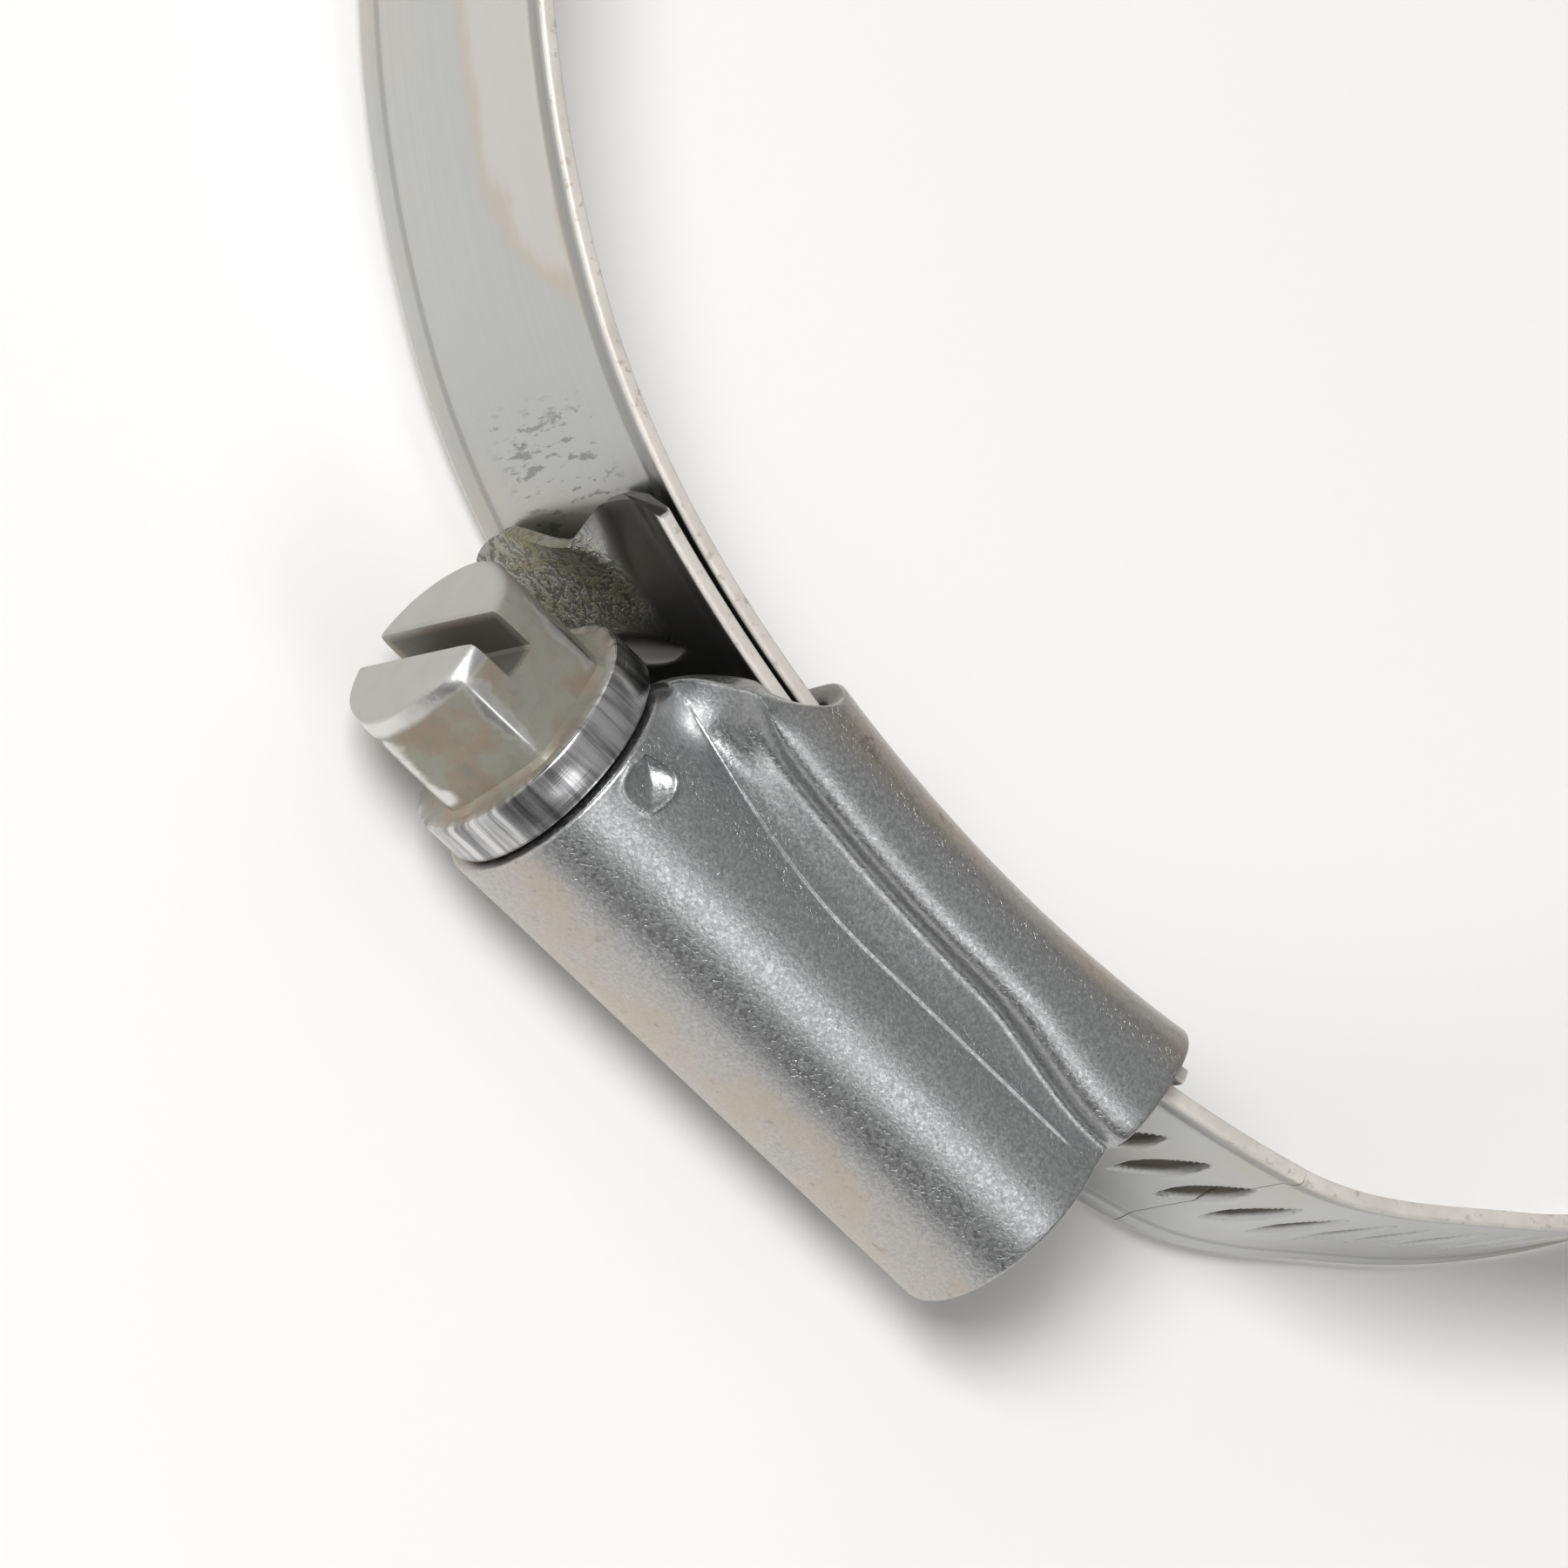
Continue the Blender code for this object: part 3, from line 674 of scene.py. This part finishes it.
half_columns = plate_steps + corner_count + shoulder_steps + flank_steps + len(barrel_share)
print(f"half outline of {half_columns} points")


# %% [markdown]
# ### Where the sheet begins and ends
#
# At the far end the sheet is cut square. At the head it is cut on a slant, so that the plate
# ends well inside the clamp and the barrel reaches the screw's collar. The cut is a smooth
# step in y, moved a little where the flank turns in towards the barrel.

# %% The slanted cut and the rims
plate_start = -8.4 * MM
mouth_edge = mouth_x - 0.08 * MM
far_x = house_high.x
rim_round = 0.13 * MM


def head_cut():
    """x of the head's edge for each point of the half outline."""
    x = np.full((1, half_columns), -11.0 * MM)
    y, z = half_outline(x, np.zeros(x.shape))
    turned_in = 0.45 * (5.5 * MM - z) * smooth(-y, 33.5 * MM, 34.5 * MM)
    slant = smooth(-32.3 * MM - y + turned_in, 0, 4.9 * MM)
    nick = 0.45 * MM * np.exp(-((y + 36.1 * MM) / (0.55 * MM)) ** 2)
    return plate_start + (mouth_edge - plate_start) * slant + nick


def ridge():
    """Height of the raised line for each point of the half outline: a bell curve on the
    distance from the barrel's crease, along the flank on one side and the barrel on the
    other."""
    away = np.full(half_columns, 1.0)
    before = half_columns - len(barrel_share)
    away[before - 7:before] = 0.65 * MM * np.linspace(1, 0, 8)[1:]
    away[before:] = 7.2 * MM * barrel_share
    return ridge_height * np.exp(-(away / ridge_width) ** 2)


def sheet_rows():
    """Rows once round the sheet: the outside towards the far end, the far rim, a turned-in
    mouth, the inside back to the head, and the head's rim. Each row is a share of the
    length, a shift along x, an inset, and the mouth's extra inset and shift."""
    fine = np.linspace(0, 0.11, 44, endpoint=False)
    coarse = np.linspace(0.11, 1, 62)
    quarter = np.linspace(0, math.pi / 2, 5)
    rows = [(share, rim_round * (1 - 2 * share), 0, 0, 0) for share in [*fine, *coarse]]
    rows += [(1, -rim_round * (1 - math.sin(a)), rim_round * (1 - math.cos(a)), 0, 0)
             for a in quarter[1:]]
    rows += [(1, -0.02 * MM, wall / 2, 0.1 * MM, 0.01 * MM),
             (1, -0.05 * MM, wall - rim_round, 0.45 * MM, 0.04 * MM),
             (1, -0.14 * MM, wall, 0.86 * MM, 0.04 * MM),
             (1, -0.3 * MM, wall, 0.92 * MM, -0.1 * MM),
             (1, -0.55 * MM, wall, 0.92 * MM, -0.2 * MM),
             (1, -0.8 * MM, wall, 0.86 * MM, 0.0),
             (1, -0.95 * MM, wall, 0.2 * MM, 0.1 * MM),
             (1, -1.1 * MM, wall, 0, 0)]
    inner = np.linspace(1, 0, 44)
    rows += [(share, -1.3 * MM * share + rim_round * (1 - share), wall, 0, 0) for share in inner]
    rows += [(0, rim_round * (1 - math.sin(a)), wall - rim_round * (1 - math.cos(a)), 0, 0)
             for a in quarter[1:]]
    rows += [(0, 0, wall / 2, 0, 0), (0, 0, rim_round, 0, 0)]
    rows += [(0, rim_round * (1 - math.cos(a)), rim_round * (1 - math.sin(a)), 0, 0)
             for a in quarter[1:-1]]
    return np.array(rows)


# %% [markdown]
# ### The punch mark
#
# After the screw is put in, the barrel is struck with a chisel beside the mouth. The dent
# reaches into the screw's neck and keeps the screw from coming out. It has two flat sides
# that meet in a line, and its outline is a leaf: the depth falls evenly away from the line
# and as a square towards the leaf's two points.

# %% The dent, and the whole sheet
mark_depth = 0.42 * MM
mark_left, mark_right, mark_half = 0.78 * MM, 0.95 * MM, 0.85 * MM


def punch_mark(x, angle):
    """Inset of the sheet under the chisel, in axes turned by 45 degrees on the barrel."""
    a, b = x - mark_x, barrel_radius * (angle - mark_angle)
    along, across = (a + b) / math.sqrt(2), (b - a) / math.sqrt(2)
    reach = np.where(along < 0, mark_left, mark_right)
    level = 1 - np.abs(along) / reach - (across / mark_half) ** 2
    burr = 0.05 * MM * np.exp(-(level / 0.16) ** 2)
    return mark_depth * np.clip(level, 0, 1) - burr


def housing_grid():
    """Both halves of the sheet. The half with z below 0 mirrors the other, without a mark."""
    rows = sheet_rows()
    share, shift, inset, mouth_inset, mouth_shift = (rows[:, i][:, None] for i in range(5))
    start = head_cut()
    halves = []
    on_barrel = np.zeros((1, half_columns))
    on_barrel[0, -len(barrel_share):] = smooth(barrel_share, 0.0, 0.16)
    for side in (1, -1):
        x = start + (far_x - start) * share + shift + mouth_shift * on_barrel
        outside = (inset < wall * 0.4) & (mouth_inset < 0.01 * MM)
        middle = smooth(share, 0.0, 0.06) * (1 - smooth(share, 0.9, 1.0))
        deep = inset + mouth_inset * on_barrel - ridge() * outside * middle
        if side > 0:
            angle = crease_angle(x, 0 * x) * (1 - np.concatenate(
                [np.zeros(half_columns - len(barrel_share)), barrel_share]))
            near = (np.arange(half_columns) >= half_columns - len(barrel_share) - 2)
            deep = deep + punch_mark(x, angle) * near * outside * (share < 0.3)
        y, z = half_outline(x, deep)
        halves.append(np.stack([x, y, side * z], axis=-1))
    return np.concatenate([halves[0], halves[1][:, -2:0:-1]], axis=1)


housing_points = housing_grid()
steps = np.linalg.norm(np.diff(housing_points, axis=1), axis=-1)
round_run = np.concatenate([np.zeros((len(steps), 1)), np.cumsum(steps, axis=1)], axis=1)
housing_uv = np.stack([housing_points[..., 0], round_run], axis=-1)
housing = surface("pressed_housing", housing_points, ring=True, run=housing_uv)

# %% [markdown]
# ## Finishes
#
# All three pieces are stainless steel, but each was made in its own way, and that is what
# tells them apart: rolled and slit strip, pressed and tumbled sheet, turned and forged bar.
# A material here is written as sums on numbers that change over the surface. A small class
# wraps a socket, so that `1 - mask` adds the Math node that works it out.

# %% Arithmetic on sockets
class Signal:
    """A number, colour or vector that changes over the surface."""

    def __init__(self, finish, socket):
        self.finish, self.socket = finish, socket

    def math(self, operation, other=None, swap=False):
        pair = (other, self) if swap else (self, other)
        inputs = {i: value for i, value in enumerate(pair) if value is not None}
        return self.finish.add("ShaderNodeMath", {"operation": operation}, inputs)

    def __add__(self, other):
        return self.math("ADD", other)

    def __sub__(self, other):
        return self.math("SUBTRACT", other)

    def __rsub__(self, other):
        return self.math("SUBTRACT", other, swap=True)

    def __mul__(self, other):
        return self.math("MULTIPLY", other)

    __radd__ = __add__
    __rmul__ = __mul__


class Nodes:
    """A node tree and the few kinds of node that the finishes and the sky share."""

    def __init__(self, tree):
        self.tree = tree

    def join(self, value, socket):
        if isinstance(value, Signal):
            self.tree.links.new(value.socket, socket)
        else:
            socket.default_value = value

    def add(self, kind, settings=None, inputs=None, output=0):
        """A node of this kind: its settings are set first, and then its sockets."""
        node = self.tree.nodes.new(kind)
        for key, value in (settings or {}).items():
            setattr(node, key, value)
        for key, value in (inputs or {}).items():
            self.join(value, node.inputs[key])
        return Signal(self, node.outputs[output])

    def step(self, value, low, high):
        """An eased step from 0 at low to 1 at high."""
        return self.add("ShaderNodeMapRange", {"interpolation_type": "SMOOTHSTEP"},
                        {"Value": value, "From Min": low, "From Max": high})

    def mixed(self, factor, first, second):
        """A colour between two others. The colour mix's sockets are numbers 6 and 7."""
        return self.add("ShaderNodeMix", {"data_type": "RGBA"},
                        {0: factor, 6: first, 7: second}, output=2)

    def parts(self, vector):
        split = self.add("ShaderNodeSeparateXYZ", None, {0: vector})
        node = split.socket.node
        return [Signal(self, node.outputs[i]) for i in range(3)]


class Finish(Nodes):
    """One material."""

    def __init__(self, name, metallic=1.0):
        self.material = bpy.data.materials.new(name)
        self.material.use_nodes = True
        super().__init__(self.material.node_tree)
        self.shader = self.tree.nodes["Principled BSDF"]
        self.shader.inputs["Metallic"].default_value = metallic
        self.object = self.add("ShaderNodeTexCoord", output="Object")

    def stretched(self, vector, factors):
        return self.add("ShaderNodeVectorMath", {"operation": "MULTIPLY"}, {0: vector, 1: factors})

    def noise(self, vector, scale=1.0, detail=3.0, rough=0.5):
        return self.add("ShaderNodeTexNoise", None,
                        {"Vector": vector, "Scale": scale, "Detail": detail, "Roughness": rough})

    def along(self):
        """The piece's own lengths, along it and across it, in metres."""
        return self.add("ShaderNodeUVMap", {"uv_map": "run"})

    def worn(self):
        """The share that the piece carries for each point."""
        return self.add("ShaderNodeAttribute", {"attribute_name": "worn"}, output="Fac")

    def between(self, value, low, high, ease):
        """A band: 1 from low to high, eased to 0 outside."""
        return self.step(value, low - ease, low) * (1 - self.step(value, high, high + ease))

    def bump(self, height, strength, distance):
        return self.add("ShaderNodeBump", None,
                        {"Height": height, "Strength": strength, "Distance": distance})

    def show(self, **sockets):
        for name, value in sockets.items():
            self.join(value, self.shader.inputs[name.replace("_", " ")])
        return self.material


def rgb(red, green, blue):
    return (red, green, blue, 1.0)


print("finishes can now be written as sums")


# %% [markdown]
# ### Rolled strip
#
# Rolling leaves long fine lines and a soft sheen. The slit edges are rougher and paler, with
# small brown specks. Painted shade darkens the foot of each lip and the dents, and on the tail
# the flat fin and the stretch by the housing. The lines are noise stretched along the strip,
# and the stains are large soft noise.

# %% The strip's finish
def strip_finish(name, tail=False):
    finish = Finish(name)
    run = finish.along()
    x, y, z = finish.parts(finish.object)
    lines = finish.noise(finish.stretched(run, (90, 5200, 1)), detail=4, rough=0.6)
    scores = finish.noise(finish.stretched(run, (260, 2300, 1)), detail=2, rough=0.4)
    clouds = finish.noise(finish.object, scale=150, detail=4, rough=0.55)
    specks = finish.noise(finish.object, scale=2200, detail=3, rough=0.7)
    edge = finish.step(z.math("ABSOLUTE"), 4.3 * MM, 4.42 * MM)
    # painted shade: a dark band along the foot of each lip and a thin one at the far edge, for the
    # clamp's shadow that these slopes would show
    foot_shade = finish.between(z + (lines - 0.5) * 0.3 * MM, 3.75 * MM, 4.15 * MM, 0.25 * MM)
    far_foot_shade = finish.between(z, -3.72 * MM, -3.62 * MM, 0.1 * MM)
    # painted shade: the dents' depth darkens them to a dark brown and dulls their metal
    dent = finish.step(finish.worn() + (specks - 0.5) * 0.2, 0.12, 0.55)
    stain = finish.step(clouds, 0.5, 0.66)
    face = finish.mixed(lines * 0.5, rgb(0.50, 0.505, 0.50), rgb(0.42, 0.425, 0.425))
    face = finish.mixed(stain * 0.55, face, rgb(0.56, 0.52, 0.44))
    if not tail:
        reach = y * 1000.0 + z * 700.0 + clouds * 9.0 + lines * 1.2
        smudge = finish.between(reach, -20.3, 6.0, 1.8) * (1 - finish.step(x, -12 * MM, -4 * MM))
        smudge = smudge * finish.between(z + (clouds - 0.5) * 2 * MM, 0.7 * MM, 3.3 * MM, 0.9 * MM)
        tide = smudge * (1 - smudge) * 4.0
        face = finish.mixed(smudge * 0.7, face, rgb(0.60, 0.58, 0.54))
        face = finish.mixed(tide * 0.4, face, rgb(0.50, 0.41, 0.31))
        slanted = finish.stretched(finish.object, (3800, 1500, 1100))
        scratch = finish.step(finish.noise(slanted, detail=4, rough=0.65), 0.53, 0.6)
        scratch = scratch * finish.between(y, -32.4 * MM, -30.3 * MM, 0.7 * MM)
        scratch = scratch * finish.between(z, -1.8 * MM, 1.8 * MM, 1.2 * MM)
        scratch = scratch * (1 - finish.step(x, -10 * MM, -8 * MM))
        face = finish.mixed(scratch * 0.6, face, rgb(0.17, 0.17, 0.165))
    # the painted shade along the lips' feet goes on here
    face = finish.mixed(foot_shade * 0.65 + far_foot_shade * 0.4, face, rgb(0.20, 0.195, 0.19))
    # painted shade in the dents
    face = finish.mixed(dent * 0.95, face, rgb(0.10, 0.085, 0.065))
    streaks = finish.noise(finish.stretched(finish.object, (900, 900, 5200)), detail=3, rough=0.6)
    slit = finish.mixed(streaks, rgb(0.52, 0.49, 0.44), rgb(0.82, 0.78, 0.72))
    slit = finish.mixed(finish.step(specks, 0.56, 0.68) * 0.6, slit, rgb(0.40, 0.32, 0.25))
    colour = finish.mixed(edge, face, slit)
    rough = 0.26 + 0.1 * lines + 0.08 * stain + 0.22 * edge + 0.2 * dent
    metal = 1.0 - edge * 0.75 - dent * 0.35
    height = lines * 0.5 - finish.step(scores, 0.62, 0.7) * 0.35 + specks * edge * 0.8
    if tail:
        back = x * -1.0
        # painted shade: the flat fin and the tail's stretch next to the housing mouth are darkened, for
        # the shadowed floor that they reflect
        flat = finish.step(z + (clouds - 0.5) * 1.2 * MM, 1.2 * MM, 1.9 * MM) * (1 - edge)
        tail_shade = flat.math("MAXIMUM", (1 - finish.step(back, 12.4 * MM, 13.8 * MM)) * (1 - edge))
        tail_shade = tail_shade * finish.step(back, 8.0 * MM, 10.5 * MM)
        colour = finish.mixed(tail_shade * 0.85, colour, rgb(0.13, 0.125, 0.115))
        lip_zone = finish.step(back, 12.4 * MM, 13.8 * MM) * (1 - flat) * (1 - edge)
        ripple = finish.add("ShaderNodeTexWave", {"wave_type": "BANDS", "bands_direction": "Z"},
                            {"Vector": finish.object, "Scale": 380.0, "Distortion": 22.0,
                             "Detail": 5.0, "Detail Scale": 2.2, "Detail Roughness": 0.65})
        grime = finish.noise(finish.object, scale=700, detail=5, rough=0.7)
        olive = finish.mixed(finish.step(grime, 0.44, 0.6), rgb(0.40, 0.40, 0.37),
                             rgb(0.33, 0.31, 0.18))
        olive = finish.mixed(finish.step(ripple, 0.55, 0.95) * 0.8, olive, rgb(0.10, 0.10, 0.09))
        colour = finish.mixed(lip_zone * 0.9, colour, olive)
        rough = rough + lip_zone * 0.06 + tail_shade * 0.06
        height = height + lip_zone * (ripple * -4.0 + grime * 3.0)
    normal = finish.bump(height, 0.5, 0.012 * MM)
    return finish.show(Base_Color=colour, Roughness=rough, Metallic=metal, Normal=normal)


plain_strip.data.materials.append(strip_finish("rolled_strip"))
flex_strip.data.materials.append(plain_strip.data.materials[0])
fed_strip.data.materials.append(strip_finish("rolled_strip_with_tail", tail=True))
print("strip finished")


# %% [markdown]
# ### Pressed housing
#
# Pressing and tumbling leave a grainy satin: each small patch of the surface tips its own
# way, so highlights break up into sparkles. A cellular texture gives every grain its own
# height for the bump and its own roughness, and a soft brown bloom gathers on the sides.

# %% The housing's finish
def housing_finish():
    finish = Finish("pressed_satin_steel")
    _, y, z = finish.parts(finish.object)
    cells = finish.add("ShaderNodeTexVoronoi", {"feature": "F1"},
                       {"Vector": finish.object, "Scale": 11000.0}, output="Color")
    tone, _, _ = finish.parts(cells)
    fine = finish.noise(finish.object, scale=8200, detail=3, rough=0.65)
    soft = finish.noise(finish.object, scale=420, detail=4, rough=0.55)
    specks = finish.noise(finish.object, scale=1500, detail=3, rough=0.7)
    out = y * -1.0
    under = 1 - finish.step(out + (soft - 0.5) * 0.9 * MM, 33.9 * MM, 34.9 * MM)
    side = finish.step(out + z * -0.9 + (soft - 0.5) * 1.5 * MM, 39.6 * MM, 41.2 * MM)
    bloom = finish.step(soft, 0.4, 0.62)
    warm = (under + side).math("MINIMUM", 1.0) * (0.4 + bloom * 0.6)
    steel = finish.mixed(finish.step(fine, 0.35, 0.65), rgb(0.40, 0.405, 0.41), rgb(0.53, 0.535, 0.54))
    colour = finish.mixed(warm, steel, rgb(0.50, 0.455, 0.40))
    spotted = finish.step(specks, 0.6, 0.7) * warm
    colour = finish.mixed(spotted * 0.55, colour, rgb(0.25, 0.20, 0.16))
    rough = 0.28 + 0.18 * tone
    height = fine * 0.9 + tone * 0.25
    normal = finish.bump(height, 0.75, 0.02 * MM)
    return finish.show(Base_Color=colour, Roughness=rough, Normal=normal)


housing.data.materials.append(housing_finish())
print("housing finished")


# %% [markdown]
# ### Turned screw
#
# The collar was turned, so its lines run round the axis, and the colour of the turned parts
# carries painted reflections, streaks across their width. The hexagon kept a dull olive film
# on its flats, and spanners have rubbed its ridges bright; painted shade darkens the driver
# slot. The distance from the axis tells a ridge from a flat, and soft noise makes the worn
# line waver.

# %% The screw's finish
def screw_finish():
    finish = Finish("stained_screw_steel")
    x, y, z = finish.parts(finish.object)
    out, side = screw_y - y, z
    angle = side.math("ARCTAN2", out)
    reach = (out * out + side * side).math("SQRT")
    turned = finish.add("ShaderNodeCombineXYZ", None, {0: x * 7000.0, 1: angle * 1.2, 2: 0.0})
    lathe = finish.noise(turned, detail=4, rough=0.6)
    # coordinates for the streaks of painted reflection on the turned parts
    bands = finish.add("ShaderNodeCombineXYZ", None, {0: x * 160.0, 1: angle * 9.0, 2: 3.0})
    reflection_streaks = finish.noise(bands, detail=4, rough=0.6)
    clouds = finish.noise(finish.object, scale=520, detail=4, rough=0.6)
    grime = finish.noise(finish.object, scale=1500, detail=4, rough=0.65)
    waver = (clouds - 0.5) * 0.5 * MM
    forward = x * -1.0
    head = finish.step(forward, -collar_front - 0.02 * MM, -collar_front + 0.02 * MM)
    above = finish.step(forward, -collar_front + 0.3 * MM, -collar_front + 0.5 * MM)
    end = finish.step(forward, -head_end - 0.25 * MM, -head_end - 0.1 * MM)
    ridge = finish.step(reach + waver, 3.2 * MM, 3.3 * MM)
    crown = finish.step(forward + waver, -head_end - 0.75 * MM, -head_end - 0.5 * MM)
    crown = crown * finish.step(reach, 2.7 * MM, 3.05 * MM) * finish.step(out, 0.0, 1.0 * MM)
    worn = (ridge * above).math("MAXIMUM", crown * above) * (1 - end)
    film_and_slot_shade = finish.mixed(finish.step(clouds, 0.42, 0.6), rgb(0.31, 0.305, 0.255), rgb(0.31, 0.25, 0.195))
    film_and_slot_shade = finish.mixed(finish.step(grime, 0.5, 0.7) * 0.5, film_and_slot_shade, rgb(0.22, 0.23, 0.21))
    film_and_slot_shade = finish.mixed(end * 0.75, film_and_slot_shade, rgb(0.46, 0.46, 0.44))
    # painted shade: the inside of the driver slot is darkened
    slot = 1 - finish.step(reach, 2.6 * MM, 2.95 * MM)
    slot = slot * (1 - finish.step(forward, -head_end - 0.45 * MM, -head_end - 0.2 * MM)) * above
    film_and_slot_shade = finish.mixed(slot * 0.85, film_and_slot_shade, rgb(0.12, 0.115, 0.10))
    # painted reflections: dark and bright streaks across the turned parts, for reflections stretched
    # along the axis
    painted_reflections = finish.mixed(finish.step(reflection_streaks, 0.36, 0.62), rgb(0.22, 0.22, 0.23), rgb(0.68, 0.68, 0.68))
    colour = finish.mixed(head, painted_reflections, film_and_slot_shade)
    colour = finish.mixed(worn * head * 0.9, colour, rgb(0.74, 0.74, 0.72))
    rough = 0.2 + 0.12 * lathe + head * (0.2 + 0.1 * grime) - worn * head * 0.2
    metal = 1.0 - head * (1 - worn) * 0.45
    height = lathe * (1 - head) * 0.9 + (grime * 1.3 + clouds * 2.5) * head
    normal = finish.bump(height, 0.5, 0.02 * MM)
    return finish.show(Base_Color=colour, Roughness=rough, Metallic=metal, Normal=normal)


screw.data.materials.append(screw_finish())
print("screw finished")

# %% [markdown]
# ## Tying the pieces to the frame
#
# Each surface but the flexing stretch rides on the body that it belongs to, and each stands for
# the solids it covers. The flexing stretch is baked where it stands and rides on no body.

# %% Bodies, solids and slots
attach(plain_strip, "housing_and_band")
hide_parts("band_plain_end", "band_loop")

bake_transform(flex_strip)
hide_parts("band_loop")

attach(fed_strip, "threaded_end")
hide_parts("band_threaded_end")

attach(screw, "screw")
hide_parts("screw")

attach(housing, "housing_and_band")
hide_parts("housing")

# %% [markdown]
# ## Floor, light and camera
#
# Steel shows what is round it more than it shows itself. The floor is plain and pale, and it
# fills the downward reflections. The sky is dark from just over the horizon to halfway up
# and brighter overhead, with a pale backdrop low down behind the clamp. Two square lamps
# add the sparkle on the barrel and the light on the floor.

# %% Floor
floor_size = 3.0
bpy.ops.mesh.primitive_plane_add(size=floor_size, location=(0, 0, cad_box[0][2]))
floor = bpy.context.object
floor.name = "floor"
paper = Finish("pale_floor", metallic=0.0)
floor.data.materials.append(paper.show(Base_Color=rgb(0.9, 0.89, 0.87), Roughness=0.9))

# %% Sky and lamps
world = bpy.data.worlds.new("studio")
bpy.context.scene.world = world
bpy.context.scene.view_settings.view_transform = "Standard"
world.use_nodes = True
sky = Nodes(world.node_tree)
_, towards_back, upwards = sky.parts(sky.add("ShaderNodeTexCoord", output="Generated"))
bands = sky.add("ShaderNodeValToRGB", None, {0: upwards})
backdrop = sky.step(towards_back, 0.3, 0.75) * (1 - sky.step(upwards, 0.25, 0.5))
sky_colour = sky.mixed(backdrop, bands, rgb(0.7, 0.69, 0.67))
sky.join(sky_colour, sky.tree.nodes["Background"].inputs["Color"])
ramp = bands.socket.node.color_ramp
stops = ((0.0, 0.3), (0.06, 0.13), (0.45, 0.13), (0.62, 0.32), (0.8, 0.36), (1.0, 0.32))
while len(ramp.elements) < len(stops):
    ramp.elements.new(0.5)
for element, (position, level) in zip(ramp.elements, stops):
    element.position = position
    element.color = rgb(level, level, level)


def soft_lamp(name, direction, distance, size, radiance):
    """A square lamp that faces the housing. Its power is its radiance times pi times its
    area, so that a reflection in polished steel is as bright as the radiance says."""
    lamp = bpy.data.lights.new(name, "AREA")
    lamp.size, lamp.energy = size, radiance * math.pi * size**2
    holder = bpy.data.objects.new(name, lamp)
    towards = Vector(direction).normalized()
    holder.location = Vector((0, screw_y, 0)) + towards * distance
    holder.rotation_euler = towards.to_track_quat("Z", "Y").to_euler()
    bpy.context.scene.collection.objects.link(holder)


soft_lamp("stripe", (0.388, -0.52, 0.763), distance=0.5, size=0.2, radiance=2.2)
soft_lamp("key", (-0.62, -0.3, 0.78), distance=0.8, size=0.26, radiance=28.5)

# %% Camera
camera_data = bpy.data.cameras.new("camera")
camera_data.lens = 240
camera_data.clip_start = 0.01
camera = bpy.data.objects.new("camera", camera_data)
azimuth, elevation, roll = (math.radians(angle) for angle in (-38.6, 51.5, 76.0))
aim = Vector((-6.0 * MM, -33.2 * MM, 0))
back = Vector((math.sin(azimuth) * math.cos(elevation), -math.cos(azimuth) * math.cos(elevation),
               math.sin(elevation)))
camera.location = aim + back * 302.8 * MM
level = back.to_track_quat("Z", "Y").to_matrix()
camera.rotation_euler = (level @ Matrix.Rotation(roll, 3, "Z")).to_euler()
bpy.context.scene.collection.objects.link(camera)
bpy.context.scene.camera = camera
